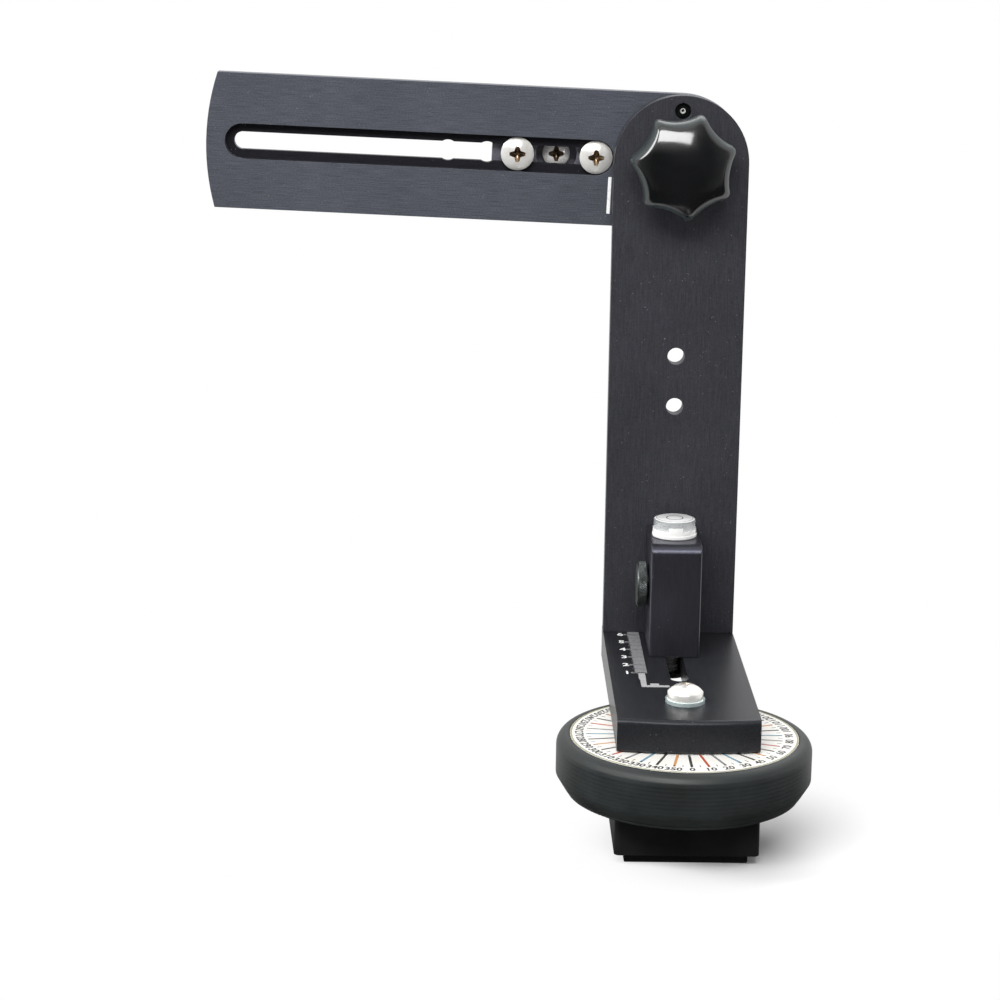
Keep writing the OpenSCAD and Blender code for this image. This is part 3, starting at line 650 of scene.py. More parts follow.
def apply_modifiers(mesh: bpy.types.Mesh,
                    *adders: Callable[[bpy.types.Object], None]) -> bpy.types.Mesh:
    """Run modifiers over a mesh and give the result as a plain mesh.

    Args:
        mesh: The mesh to start from.
        adders: Functions that each add one modifier to the object they are given.

    Returns:
        The evaluated mesh.
    """
    holder = bpy.data.objects.new("holder", mesh)
    bpy.context.scene.collection.objects.link(holder)
    for adder in adders:
        adder(holder)
    graph = bpy.context.evaluated_depsgraph_get()
    graph.update()
    result = bpy.data.meshes.new_from_object(holder.evaluated_get(graph), depsgraph=graph)
    holder.modifiers.clear()
    bpy.data.objects.remove(holder)
    return result


def broken_edges(width: float, segments: int = 2,
                 angle: float = 40.0) -> Callable[[bpy.types.Object], None]:
    """Give a function that bevels an object's edges.

    Args:
        width: Width of the edge break, in metres.
        segments: Steps round the edge.
        angle: Smallest angle between faces that counts as an edge, in degrees.

    Returns:
        The function that adds the modifier.
    """
    def adder(holder: bpy.types.Object) -> None:
        """Add the bevel.

        Args:
            holder: The object that gets it.
        """
        bevel = holder.modifiers.new("edges", "BEVEL")
        bevel.width = width
        bevel.segments = segments
        bevel.limit_method = "ANGLE"
        bevel.angle_limit = math.radians(angle)
        bevel.use_clamp_overlap = True
        bevel.harden_normals = False
    return adder


def weighted(holder: bpy.types.Object) -> None:
    """Keep large faces flat under smooth shading."""
    modifier = holder.modifiers.new("normals", "WEIGHTED_NORMAL")
    modifier.keep_sharp = True


def cut_with(cutter: bpy.types.Object) -> Callable[[bpy.types.Object], None]:
    """Give a function that cuts another object's shape out of the one it is given.

    Args:
        cutter: The object whose shape is cut out.

    Returns:
        The function that adds the modifier.
    """
    def adder(holder: bpy.types.Object) -> None:
        """Add the cut.

        Args:
            holder: The object that is cut.
        """
        boolean = holder.modifiers.new("cut", "BOOLEAN")
        boolean.operation = "DIFFERENCE"
        boolean.solver = "EXACT"
        boolean.object = cutter
        boolean.material_mode = "TRANSFER"
    return adder


def edge_broken(node: str, width: float, finish: Finish, body: Body) -> bpy.types.Object:
    """Replace a CAD node by a copy of itself with broken edges.

    Args:
        node: The CAD node.
        width: Width of the edge break, in metres.
        finish: Its finish.
        body: Its body.

    Returns:
        The new piece.
    """
    mesh = apply_modifiers(settle(merged(node)), broken_edges(width), weighted)
    piece = new_piece(f"{node}_finished", mesh, finish, body)
    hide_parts(node)
    return piece


def lathe(profile: Profile, steps: int = 64) -> bpy.types.Mesh:
    """Turn a profile round the Z axis into a closed mesh.

    Args:
        profile: Points (radius, height) from the lower pole to the upper one, or round a loop
            whose last point repeats its first.
        steps: Faces round the turn.

    Returns:
        The new mesh, with its faces pointing out.
    """
    work = bmesh.new()
    rings = []
    for radius, height in profile:
        if rings and (radius, height) == profile[0]:
            rings.append(rings[0])
            continue
        if radius < POLE_R:
            rings.append([work.verts.new((0, 0, height))])
            continue
        rings.append([work.verts.new((radius * math.cos(FULL_TURN * k / steps),
                                      radius * math.sin(FULL_TURN * k / steps), height))
                      for k in range(steps)])
    for low, high in zip(rings, rings[1:]):
        for k in range(steps):
            after = (k + 1) % steps
            around = [low[k % len(low)], low[after % len(low)],
                      high[after % len(high)], high[k % len(high)]]
            work.faces.new(list(dict.fromkeys(around)))
    bmesh.ops.recalc_face_normals(work, faces=work.faces)
    return mesh_of(work, "lathe")


def flat_ring(inner: float, outer: float, thickness: float) -> bpy.types.Mesh:
    """Make a flat ring round the Z axis.

    Args:
        inner: Its inner radius.
        outer: Its outer radius.
        thickness: Its thickness, half of it above z = 0.

    Returns:
        The new closed mesh.
    """
    half = thickness / 2
    return lathe([(inner, -half), (outer, -half), (outer, half), (inner, half),
                  (inner, -half)])


def thread_mesh(radius: float, length: float, pitch: float, depth: float,
                steps: int = 32) -> bpy.types.Mesh:
    """Make a rod along +Z with a single-start thread, its crests at the radius.

    Args:
        radius: Radius of the crests.
        length: Length of the rod.
        pitch: Rise of the thread in one turn.
        depth: Depth of the thread.
        steps: Faces round the rod.

    Returns:
        The new closed mesh.
    """
    work = bmesh.new()
    rows_per_pitch = 6
    rows = round(rows_per_pitch * length / pitch)
    rings = []
    for row in range(rows + 1):
        ring = []
        for k in range(steps):
            turn_share = (row / rows_per_pitch - k / steps) % 1.0
            dip = depth * abs(2 * turn_share - 1)
            if row in (0, rows):
                dip = depth
            angle = FULL_TURN * k / steps
            ring.append(work.verts.new(((radius - dip) * math.cos(angle),
                                        (radius - dip) * math.sin(angle),
                                        length * row / rows)))
        rings.append(ring)
    bridge(work, rings)
    work.faces.new(rings[0][::-1])
    work.faces.new(rings[-1])
    return mesh_of(work, "thread")


def capped(mesh: bpy.types.Mesh) -> bpy.types.Mesh:
    """Close a mesh's open ends and point its faces out.

    Args:
        mesh: The mesh.

    Returns:
        The same mesh.
    """
    work = bmesh.new()
    work.from_mesh(mesh)
    bmesh.ops.holes_fill(work, edges=[e for e in work.edges if e.is_boundary], sides=0)
    bmesh.ops.recalc_face_normals(work, faces=work.faces)
    work.to_mesh(mesh)
    work.free()
    return mesh


def cross_cutter(reach: float, root: float, depth: float) -> bpy.types.Mesh:
    """Make the tool that presses a cross recess into a screw head.

    The head's face lies at the origin and faces +Z, and the tool's sides lean inwards.

    Args:
        reach: Length of an arm of the cross at the face.
        root: Distance of the inner corners between the arms.
        depth: Depth of the recess.

    Returns:
        The new closed mesh.
    """
    arm_share, root_share = 0.19, 0.72
    arm_w = arm_share * reach
    # Height of each level and its width as a share of the cross at the head's face
    levels = [(0.4 * depth, 1.12), (0.0, 1.0), (-0.55 * depth, 0.6), (-depth, 0.25)]
    work = bmesh.new()
    rings = []
    for height, share in levels:
        ring = []
        for quarter in range(4):
            spin = Matrix.Rotation(quarter * FULL_TURN / 4, 3, "Z")
            for x, y in ((reach * share, -arm_w * share), (reach * share, arm_w * share),
                         (root * share * root_share, root * share * root_share)):
                corner = spin @ Vector((x, y, 0))
                ring.append(work.verts.new((corner.x, corner.y, height)))
        rings.append(ring)
    bridge(work, rings)
    work.faces.new(rings[0])
    work.faces.new(rings[-1][::-1])
    bmesh.ops.recalc_face_normals(work, faces=work.faces)
    return mesh_of(work, "cross")


def recessed(node: str, finish: Finish, body: Body, heads: list[Matrix],
             reach: float, depth: float, inside: Finish) -> bpy.types.Object:
    """Replace a screw by a copy with a cross recess in each head.

    Args:
        node: The CAD node.
        finish: Its finish.
        body: Its body.
        heads: Place of each head's top, with +Z out of the head.
        reach: Length of an arm of the cross.
        depth: Depth of the recess.
        inside: Finish of the recess, whose brown is painted shade.

    Returns:
        The new piece.
    """
    smooth_to = 50.0
    mesh = coated(settle(merged(node), smooth_to), finish)
    cutters = []
    for head in heads:
        cutter = placed(cross_cutter(reach, reach / 2, depth), head)
        holder = bpy.data.objects.new("cutter", coated(cutter, inside))
        bpy.context.scene.collection.objects.link(holder)
        cutters.append(holder)
    cut = apply_modifiers(mesh, *(cut_with(cutter) for cutter in cutters))
    for holder in cutters:
        bpy.data.objects.remove(holder)
    piece = new_piece(f"{node}_finished", settle(cut, smooth_to), finish, body)
    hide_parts(node)
    return piece


def placed(mesh: bpy.types.Mesh, *moves: Matrix) -> bpy.types.Mesh:
    """Move a mesh by some matrices.

    Args:
        mesh: The mesh.
        moves: The matrices, of which the last acts first.

    Returns:
        The same mesh.
    """
    whole = Matrix.Identity(4)
    for move in moves:
        whole = whole @ move
    mesh.transform(whole)
    return mesh


def joined(meshes: Iterable[bpy.types.Mesh], name: str) -> bpy.types.Mesh:
    """Join meshes into one, keeping their materials.

    Args:
        meshes: The meshes to join.
        name: The new mesh's name.

    Returns:
        The joined mesh.
    """
    work = bmesh.new()
    materials: list[bpy.types.Material] = []
    for mesh in meshes:
        first = len(work.faces)
        work.from_mesh(mesh)
        work.faces.ensure_lookup_table()
        for face in work.faces[first:]:
            material = mesh.materials[face.material_index] if mesh.materials else None
            if material is not None:
                if material not in materials:
                    materials.append(material)
                face.material_index = materials.index(material)
    result = mesh_of(work, name)
    for material in materials:
        result.materials.append(material)
    return result


def box_mesh(low: Point, high: Point) -> bpy.types.Mesh:
    """Make a box between two corners.

    Args:
        low: The lowest corner.
        high: The highest corner.

    Returns:
        The new closed mesh.
    """
    work = bmesh.new()
    bmesh.ops.create_cube(work, size=1.0)
    size = Vector(high) - Vector(low)
    middle = (Vector(high) + Vector(low)) / 2
    work.transform(Matrix.Translation(middle) @ Matrix.Diagonal((*size, 1.0)))
    return mesh_of(work, "box")


def turn(angle: float, axis: str) -> Matrix:
    """Give a rotation about an axis by an angle in degrees."""
    return Matrix.Rotation(math.radians(angle), 4, axis)


def shift(x: float = 0.0, y: float = 0.0, z: float = 0.0) -> Matrix:
    """Give a translation."""
    return Matrix.Translation((x, y, z))


def lettering(words: str, height: float, thickness: float) -> bpy.types.Mesh:
    """Make numbers as a thin mesh, centred on the origin and facing +Z.

    Args:
        words: The digits.
        height: Height of a digit.
        thickness: How far the ink stands up.

    Returns:
        The new mesh.
    """
    curve = bpy.data.curves.new("digits", "FONT")
    curve.body = words
    curve.align_x = "CENTER"
    curve.align_y = "CENTER"
    cap_share, weight = 0.7, 0.04
    curve.size = height / cap_share
    curve.extrude = thickness / 2
    curve.offset = height * weight
    curve.resolution_u = 3
    holder = bpy.data.objects.new("digits", curve)
    bpy.context.scene.collection.objects.link(holder)
    graph = bpy.context.evaluated_depsgraph_get()
    graph.update()
    mesh = bpy.data.meshes.new_from_object(holder.evaluated_get(graph), depsgraph=graph)
    bpy.data.objects.remove(holder)
    work = bmesh.new()
    work.from_mesh(mesh)
    bmesh.ops.remove_doubles(work, verts=work.verts, dist=0.001 * MM)
    bmesh.ops.recalc_face_normals(work, faces=work.faces)
    work.to_mesh(mesh)
    work.free()
    return mesh


# ---- Geometry node trees ----


class Ticks(Enum):
    """How a row of ticks is laid out."""

    LINE = "line"
    CIRCLE = "circle"


def sized_tree(name: str, count: str, sizes: Iterable[str],
               look: str) -> tuple[bpy.types.GeometryNodeTree, Any]:
    """Start a geometry node tree whose inputs are a count, some sizes and a material.

    Args:
        name: The tree's name.
        count: Name of the count.
        sizes: Names of the sizes.
        look: Name of the material.

    Returns:
        The tree and its inputs as output sockets.
    """
    tree = bpy.data.node_groups.new(name, "GeometryNodeTree")
    for label, kind in (("Geometry", "Geometry"), (count, "Int"),
                        *((size, "Float") for size in sizes), (look, "Material")):
        tree.interface.new_socket(label, in_out="INPUT", socket_type=f"NodeSocket{kind}")
    tree.interface.new_socket("Geometry", in_out="OUTPUT", socket_type="NodeSocketGeometry")
    return tree, add(tree, "NodeGroupInput").outputs


def tick_tree(layout: Ticks) -> bpy.types.GeometryNodeTree:
    """Build the tree that lays bars along a line or round a circle.

    The line runs along +Y from the origin, and its bars lie along -X.  The circle's bars
    point outwards.

    Args:
        layout: Line or circle.

    Returns:
        The node tree, with its sizes as named inputs.
    """
    tree, out = sized_tree(f"ticks_{layout.value}", "Count",
                           ("Spacing", "Radius", "Length", "Width", "Height"), "Ink")
    size = add(tree, "ShaderNodeCombineXYZ",
               inputs={"X": out["Length"], "Y": out["Width"], "Z": out["Height"]})
    bar = add(tree, "GeometryNodeMeshCube", inputs={"Size": size.outputs[0]})
    half = add(tree, "ShaderNodeMath", {"operation": "MULTIPLY"},
               {0: out["Length"], 1: 0.5 if layout is Ticks.CIRCLE else -0.5})
    offset = add(tree, "ShaderNodeCombineXYZ", inputs={"X": half.outputs[0]})
    bar_out = add(tree, "GeometryNodeTransform",
                  inputs={"Geometry": bar.outputs["Mesh"], "Translation": offset.outputs[0]})
    if layout is Ticks.LINE:
        step = add(tree, "ShaderNodeCombineXYZ", inputs={"Y": out["Spacing"]})
        points = add(tree, "GeometryNodeMeshLine", {"mode": "OFFSET"},
                     {"Count": out["Count"], "Offset": step.outputs[0]})
        instances = add(tree, "GeometryNodeInstanceOnPoints",
                        inputs={"Points": points.outputs["Mesh"],
                                "Instance": bar_out.outputs[0]})
    else:
        points = add(tree, "GeometryNodeMeshCircle",
                     inputs={"Vertices": out["Count"], "Radius": out["Radius"]})
        index = add(tree, "GeometryNodeInputIndex")
        share = add(tree, "ShaderNodeMath", {"operation": "DIVIDE"},
                    {0: index.outputs[0], 1: out["Count"]})
        angle = add(tree, "ShaderNodeMath", {"operation": "MULTIPLY"},
                    {0: share.outputs[0], 1: FULL_TURN})
        turned = add(tree, "ShaderNodeCombineXYZ", inputs={"Z": angle.outputs[0]})
        instances = add(tree, "GeometryNodeInstanceOnPoints",
                        inputs={"Points": points.outputs["Mesh"],
                                "Instance": bar_out.outputs[0],
                                "Rotation": turned.outputs[0]})
    real = add(tree, "GeometryNodeRealizeInstances",
               inputs={"Geometry": instances.outputs[0]})
    inked = add(tree, "GeometryNodeSetMaterial",
                inputs={"Geometry": real.outputs[0], "Material": out["Ink"]})
    add(tree, "NodeGroupOutput", inputs={"Geometry": inked.outputs[0]})
    return tree


def knurl_tree() -> bpy.types.GeometryNodeTree:
    """Build the tree that lays a diamond knurl round a cylinder.

    Returns:
        The node tree, with its sizes as named inputs.
    """
    tree, out = sized_tree("diamond_knurl", "Teeth", ("Radius", "Length", "Depth"), "Metal")
    rows, columns_per_tooth, diamonds = 25, 4.0, 3
    around = add(tree, "ShaderNodeMath", {"operation": "MULTIPLY_ADD"},
                 {0: out["Teeth"], 1: columns_per_tooth, 2: 1.0})
    grid = add(tree, "GeometryNodeMeshGrid",
               inputs={"Size X": FULL_TURN, "Size Y": 1.0, "Vertices X": around.outputs[0],
                       "Vertices Y": rows})
    place = add(tree, "ShaderNodeSeparateXYZ",
                inputs={"Vector": add(tree, "GeometryNodeInputPosition").outputs[0]})
    phase = add(tree, "ShaderNodeMath", {"operation": "MULTIPLY"},
                {0: place.outputs["X"], 1: out["Teeth"]})
    lift = add(tree, "ShaderNodeMath", {"operation": "MULTIPLY"},
               {0: place.outputs["Y"], 1: diamonds * FULL_TURN})
    waves = []
    for sign in (1.0, -1.0):
        total = add(tree, "ShaderNodeMath", {"operation": "MULTIPLY_ADD"},
                    {0: lift.outputs[0], 1: sign, 2: phase.outputs[0]})
        waves.append(add(tree, "ShaderNodeMath", {"operation": "COSINE"},
                         {0: total.outputs[0]}).outputs[0])
    lowest = add(tree, "ShaderNodeMath", {"operation": "MINIMUM"}, {0: waves[0], 1: waves[1]})
    sink = add(tree, "ShaderNodeMath", {"operation": "MULTIPLY_ADD"},
               {0: lowest.outputs[0], 1: 0.5, 2: -0.5})
    edge = add(tree, "ShaderNodeMath", {"operation": "MULTIPLY"},
               {0: sink.outputs[0], 1: out["Depth"]})
    radius = add(tree, "ShaderNodeMath", {"operation": "ADD"},
                 {0: edge.outputs[0], 1: out["Radius"]})
    height = add(tree, "ShaderNodeMath", {"operation": "MULTIPLY"},
                 {0: place.outputs["Y"], 1: out["Length"]})
    parts = []
    for wave in ("COSINE", "SINE"):
        share = add(tree, "ShaderNodeMath", {"operation": wave}, {0: place.outputs["X"]})
        parts.append(add(tree, "ShaderNodeMath", {"operation": "MULTIPLY"},
                         {0: share.outputs[0], 1: radius.outputs[0]}).outputs[0])
    where = add(tree, "ShaderNodeCombineXYZ",
                inputs={"X": parts[0], "Y": parts[1], "Z": height.outputs[0]})
    bent = add(tree, "GeometryNodeSetPosition",
               inputs={"Geometry": grid.outputs["Mesh"], "Position": where.outputs[0]})
    closed = add(tree, "GeometryNodeMergeByDistance",
                 inputs={"Geometry": bent.outputs[0], "Distance": MERGE})
    real = add(tree, "GeometryNodeRealizeInstances", inputs={"Geometry": closed.outputs[0]})
    inked = add(tree, "GeometryNodeSetMaterial",
                inputs={"Geometry": real.outputs[0], "Material": out["Metal"]})
    add(tree, "NodeGroupOutput", inputs={"Geometry": inked.outputs[0]})
    return tree


def grown(tree: bpy.types.GeometryNodeTree, **sizes: Any) -> bpy.types.Mesh:
    """Run a geometry node tree and give its result as a plain mesh.

    Args:
        tree: The tree.
        sizes: Its inputs by name.

    Returns:
        The new mesh.
    """
    identifiers = {item.name: item.identifier for item in tree.interface.items_tree
                   if item.in_out == "INPUT"}

    def adder(holder: bpy.types.Object) -> None:
        """Add the tree as a modifier and set its inputs.

        Args:
            holder: The object that carries it.
        """
        modifier = holder.modifiers.new("grow", "NODES")
        modifier.node_group = tree
        for name, value in sizes.items():
            modifier[identifiers[name]] = value

    return apply_modifiers(bpy.data.meshes.new("seed"), adder)


# ---- Sub-assemblies ----


@dataclass
class Rotator:
    """The fixed base: pad, block, moulded shells and the printed scale disc."""

    disc_top: float = 0.0
    ink_t: float = 0.06 * MM
    number_r: float = 37.9 * MM
    number_h: float = 2.9 * MM
    number_step: int = 10
    rim_gap: float = 0.05 * MM
    rim_w: float = 0.7 * MM
    cross_reach: float = 2.1 * MM
    cross_depth: float = 0.9 * MM
    cross_turn: float = 20.0
    block_edge: float = 0.5 * MM
    shell_edge: float = 0.25 * MM
    fine_count: int = 72
    fine_r: float = 33.6 * MM
    fine_l: float = 1.7 * MM
    fine_w: float = 0.3 * MM
    stroke_count: int = 6
    stroke_end: float = 35.3 * MM
    stroke_l: float = 12.5 * MM
    stroke_w: float = 0.95 * MM

    def build(self) -> None:
        """Dress the base and print its scale."""
        for node, edge, finish, slot in (
                ("base_pad", self.block_edge, RUBBER, "rubber"),
                ("base_block", self.block_edge, BASE_PLASTIC, "base_plastic"),
                ("rotator_ring", self.shell_edge, SHELL, "shell_plastic"),
                ("rotator_bowl", self.shell_edge, SHELL, "shell_plastic")):
            edge_broken(node, edge, finish, Body.BASE)
        dress("scale_disc", CARD)
        dress("slip_washer", NYLON_BLACK)
        for node in ("tripod_bushing", "base_screws", "ring_screws", "pivot_nut"):
            dress(node, ZINC)
        dress("pivot_washer", NICKEL_WASHER)
        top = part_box("pivot_screw")[1][2]
        recessed("pivot_screw", NICKEL, Body.BASE,
                 [shift(z=top) @ turn(self.cross_turn, "Z")], self.cross_reach, self.cross_depth,
                 RECESS_SHADE_PALE)
        self.disc_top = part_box("scale_disc")[1][2]
        self.print_ticks()
        self.print_numbers()

    def print_ticks(self) -> None:
        """Print the rings of radial ticks, one colour for each step of the turn."""
        tree = tick_tree(Ticks.CIRCLE)
        rings = [(self.fine_count, self.fine_r, self.fine_l, self.fine_w, 0, INK_BLACK)]
        inks = (INK_BLACK, INK_RED, INK_GREY, INK_BLUE, INK_BLACK, INK_ORANGE)
        for place, ink in enumerate(inks):
            rings.append((self.stroke_count, self.stroke_end - self.stroke_l, self.stroke_l,
                          self.stroke_w, self.number_step * place, ink))
        meshes = []
        for count, inner, length, width, first, ink in rings:
            mesh = grown(tree, Count=count, Radius=inner, Length=length, Width=width,
                         Height=self.ink_t, Ink=material_of(ink))
            meshes.append(placed(mesh, shift(z=self.disc_top), turn(90 + first, "Z")))
        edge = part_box("scale_disc")[1][0] - self.rim_gap
        rim = coated(flat_ring(edge - self.rim_w, edge, self.ink_t), INK_RIM)
        meshes.append(placed(rim, shift(z=self.disc_top)))
        new_piece("scale_ticks", joined(meshes, "scale_ticks"), INK_BLACK, Body.BASE)

    def print_numbers(self) -> None:
        """Print a number at each step of ten degrees, with its foot towards the axis."""
        meshes = []
        for angle in range(0, 360, self.number_step):
            digits = coated(lettering(str(angle), self.number_h, self.ink_t), INK_BLACK)
            meshes.append(placed(digits, turn(angle - 90, "Z"),
                                 shift(x=self.number_r, z=self.disc_top), turn(90, "Z")))
        new_piece("scale_numbers", joined(meshes, "scale_numbers"), INK_BLACK, Body.BASE)


@dataclass(frozen=True)
class TickRow:
    """Ruler ticks of one kind: their spacing, length and width in millimetres."""

    spacing: float
    length: float
    width: float


# Millimetres, half centimetres and centimetres
RULER = (TickRow(1.0, 4.7, 0.3), TickRow(5.0, 5.1, 0.4), TickRow(10.0, 6.0, 1.3))


@dataclass
class LowerArm:
    """The lower arm with its ruler and its index lines."""

    ink_t: float = 0.05 * MM
    ruler_x: float = -11.5 * MM
    ruler_start: float = 34.4 * MM
    ruler_end: float = 92.0 * MM
    band_w: float = 4.3 * MM
    number_x: float = -18.9 * MM
    number_h: float = 3.5 * MM
    number_gap: float = 10 * MM
    last_number: int = 6
    edge: float = 0.3 * MM

    def build(self) -> None:
        """Dress the arm and print its ruler."""
        edge_broken("lower_arm", self.edge, ARM_BAR, Body.ARM)
        dress("pivot_bush", BRONZE)
        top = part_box("lower_arm")[1][2]
        self.print_ruler(top)
        self.print_index(top)

    def print_ruler(self, top: float) -> None:
        """Print the ticks, a thinner band under them and the centimetre numbers.

        Args:
            top: Height of the arm's top face.
        """
        tree = tick_tree(Ticks.LINE)
        meshes = []
        for row in RULER:
            count = int((self.ruler_end - self.ruler_start) / (row.spacing * MM)) + 1
            mesh = grown(tree, Count=count, Spacing=row.spacing * MM, Length=row.length * MM,
                         Width=row.width * MM, Height=self.ink_t, Ink=material_of(INK_GREY))
            meshes.append(placed(mesh, shift(self.ruler_x, self.ruler_start, top)))
        half = self.ink_t / 2
        band = box_mesh((self.ruler_x - self.band_w, self.ruler_start, top - half),
                        (self.ruler_x, self.ruler_end, top + half / 2))
        meshes.append(coated(band, INK_GREY))
        new_piece("ruler_ticks", joined(meshes, "ruler_ticks"), INK_GREY, Body.ARM)
        numbers = []
        for n in range(self.last_number):
            digits = coated(lettering(str(n + 1), self.number_h, self.ink_t), INK_WHITE)
            numbers.append(placed(digits, shift(
                self.number_x, self.ruler_start + n * self.number_gap, top)))
        new_piece("ruler_numbers", joined(numbers, "ruler_numbers"), INK_WHITE, Body.ARM)

    def print_index(self, top: float) -> None:
        """Print the bent index line that joins the ruler to the pan axis.

        Args:
            top: Height of the arm's top face.
        """
        half = self.ink_t / 2
        # Lowest and highest corner of each strip, in millimetres
        strips = [
            ((-14.6, 16.8), (-12.5, 26.0)), ((-14.9, 26.0), (-12.4, 34.2)),
            ((-12.5, 16.8), (-4.3, 19.0)), ((-11.2, 19.0), (-8.0, 21.2)),
        ]
        meshes = [coated(box_mesh((a[0] * MM, a[1] * MM, top - half),
                                  (b[0] * MM, b[1] * MM, top + half)), INK_PALE)
                  for a, b in strips]
        new_piece("index_line", joined(meshes, "index_line"), INK_PALE, Body.ARM)


@dataclass
class Upright:
    """The upright with its foot block, clamp stud, level and detent plunger."""

    thread_pitch: float = INCH / 20
    thread_depth: float = 0.6 * MM
    stud_r: float = 3.17 * MM
    head_r: float = 6.2 * MM
    head_t: float = 1.9 * MM
    head_edge: float = 0.3 * MM
    groove_r: float = 1.9 * MM
    groove_h: float = 2.6 * MM
    cup_step: float = 0.25 * MM
    cup_foot: float = 1.3 * MM
    cup_h: float = 3.2 * MM
    tab_w: float = 5.4 * MM
    tab_top: float = 4.6 * MM
    card_h: float = 3.1 * MM
    card_t: float = 0.4 * MM
    vial_gap: float = 0.05 * MM
    vial_edge: float = 0.8 * MM
    bubble_r: float = 2.2 * MM
    bubble_h: float = 0.6 * MM
    bubble_sink: float = 1.2 * MM
    ring_r: float = 2.9 * MM
    ring_w: float = 0.45 * MM
    rim_r: float = 6.85 * MM
    rim_w: float = 0.22 * MM
    line_gap: float = 1.0 * MM
    line_w: float = 0.1 * MM
    mark_t: float = 0.04 * MM
    bar_edge: float = 0.3 * MM
    block_edge: float = 0.25 * MM
    socket_r: float = 0.45 * MM
    socket_flare: float = 0.8 * MM
    socket_rim_r: float = 1.0 * MM
    socket_lift: float = 0.02 * MM
    socket_sunk: float = 0.5 * MM
    cup_edge: float = 0.3 * MM
    cup_gap: float = 0.02 * MM
    tab_steps: int = 4
    bubble_at: tuple[float, float] = (0.6 * MM, 0.4 * MM)
    bubble_steps: int = 12
    bubble_sides: int = 32
    bubble_smooth: float = 80.0
    thread_smooth: float = 50.0

    def build(self) -> None:
        """Dress the upright and what it carries."""
        edge_broken("upright", self.bar_edge, UPRIGHT_BAR, Body.UPRIGHT)
        edge_broken("foot_block", self.block_edge, BLOCK_ANODISED, Body.UPRIGHT)
        dress("block_screws", ZINC)
        dress("plunger_body", PLUNGER_STEEL)
        dress("plunger_spring", ZINC)
        dress("plunger_ball", NICKEL)
        self.add_cup()
        self.add_stud()
        self.add_socket_rim()
        self.add_level()

    def add_stud(self) -> None:
        """Cut the thread of the clamp stud that shows in the arm's slot, painted near white as
        glints, with its head and shank painted dark as shade.
        """
        low, high = corners("foot_stud")
        centre = (low + high) / 2
        plain_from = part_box("foot_block")[0][2]
        head = lathe([(0, 0), (self.head_r - self.head_edge, 0), (self.head_r, self.head_edge),
                      (self.head_r, self.head_t), (0, self.head_t)])
        thread = thread_mesh(self.stud_r, plain_from - low.z - self.head_t, self.thread_pitch,
                             self.thread_depth)
        washer_low, washer_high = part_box("thumb_washer")
        groove = washer_low[2] / 2 + washer_high[2] / 2 - plain_from
        rest = high.z - plain_from
        shank = lathe([(0, 0), (self.stud_r, 0), (self.stud_r, groove - self.groove_h),
                       (self.groove_r, groove), (self.stud_r, groove + self.groove_h),
                       (self.stud_r, rest), (0, rest)])
        # The thread is painted near white as glints, the head and shank dark as shade
        meshes = [placed(settle(mesh, angle), shift(centre.x, centre.y, height))
                  for mesh, angle, height in (
                      (coated(head, STUD_SHADE), SMOOTH_ANGLE, low.z),
                      (coated(thread, THREAD_GLINT), self.thread_smooth, low.z + self.head_t),
                      (coated(shank, STUD_SHADE), SMOOTH_ANGLE, plain_from))]
        piece = new_piece("foot_stud_threaded", joined(meshes, "foot_stud"), STUD_SHADE,
                          Body.UPRIGHT)
        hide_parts("foot_stud")

    def add_socket_rim(self) -> None:
        """Put a flared lip at the mouth of the hex socket in the detent plunger, coloured nickel
        white as a painted glint.
        """
        low, high = corners("plunger_body")
        rim = lathe([(self.socket_r, -self.socket_sunk), (self.socket_flare, 0.0),
                     (self.socket_rim_r, self.socket_lift),
                     (self.socket_rim_r, -self.socket_sunk), (self.socket_r, -self.socket_sunk)])
        placed(settle(rim), shift((low.x + high.x) / 2, low.y, (low.z + high.z) / 2),
               turn(90, "X"))
        # Nickel white on the black plunger: a painted glint
        new_piece("plunger_socket_glint", rim, NICKEL, Body.UPRIGHT)

    def add_cup(self) -> None:
        """Mould the level's cup: a stepped foot, a thin wall and a tab at the front."""
        low, high = corners("level_cup")
        x, y, radius = (low.x + high.x) / 2, (low.y + high.y) / 2, (high.x - low.x) / 2
        vial_low, vial_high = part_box("level_vial")
        inner = (vial_high[0] - vial_low[0]) / 2 + self.cup_gap
        floor = vial_low[2] - low.z
        edge, wall = self.cup_edge, radius - self.cup_step
        cup = lathe([(0, 0), (radius - edge, 0), (radius, edge), (radius, self.cup_foot),
                     (wall, self.cup_foot + edge), (wall, self.cup_h), (inner, self.cup_h),
                     (inner, floor), (0, floor)])
        half, steps = math.asin(self.tab_w / 2 / wall), self.tab_steps
        work = bmesh.new()
        rows = [[work.verts.new((r * math.sin(half * k / steps),
                                 -r * math.cos(half * k / steps), h))
                 for r, h in ((inner, self.cup_h - edge), (wall, self.cup_h - edge),
                              (wall, self.tab_top), (inner, self.tab_top))]
                for k in range(-steps, steps + 1)]
        bridge(work, rows)
        work.faces.new(rows[0])
        work.faces.new(rows[-1][::-1])
        bmesh.ops.recalc_face_normals(work, faces=work.faces)
        whole = placed(joined([settle(cup), settle(mesh_of(work, "tab"))], "level_cup"),
                       shift(x, y, low.z))
        piece = new_piece("level_cup_moulded", whole, LEVEL_WHITE, Body.UPRIGHT)
        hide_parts("level_cup")

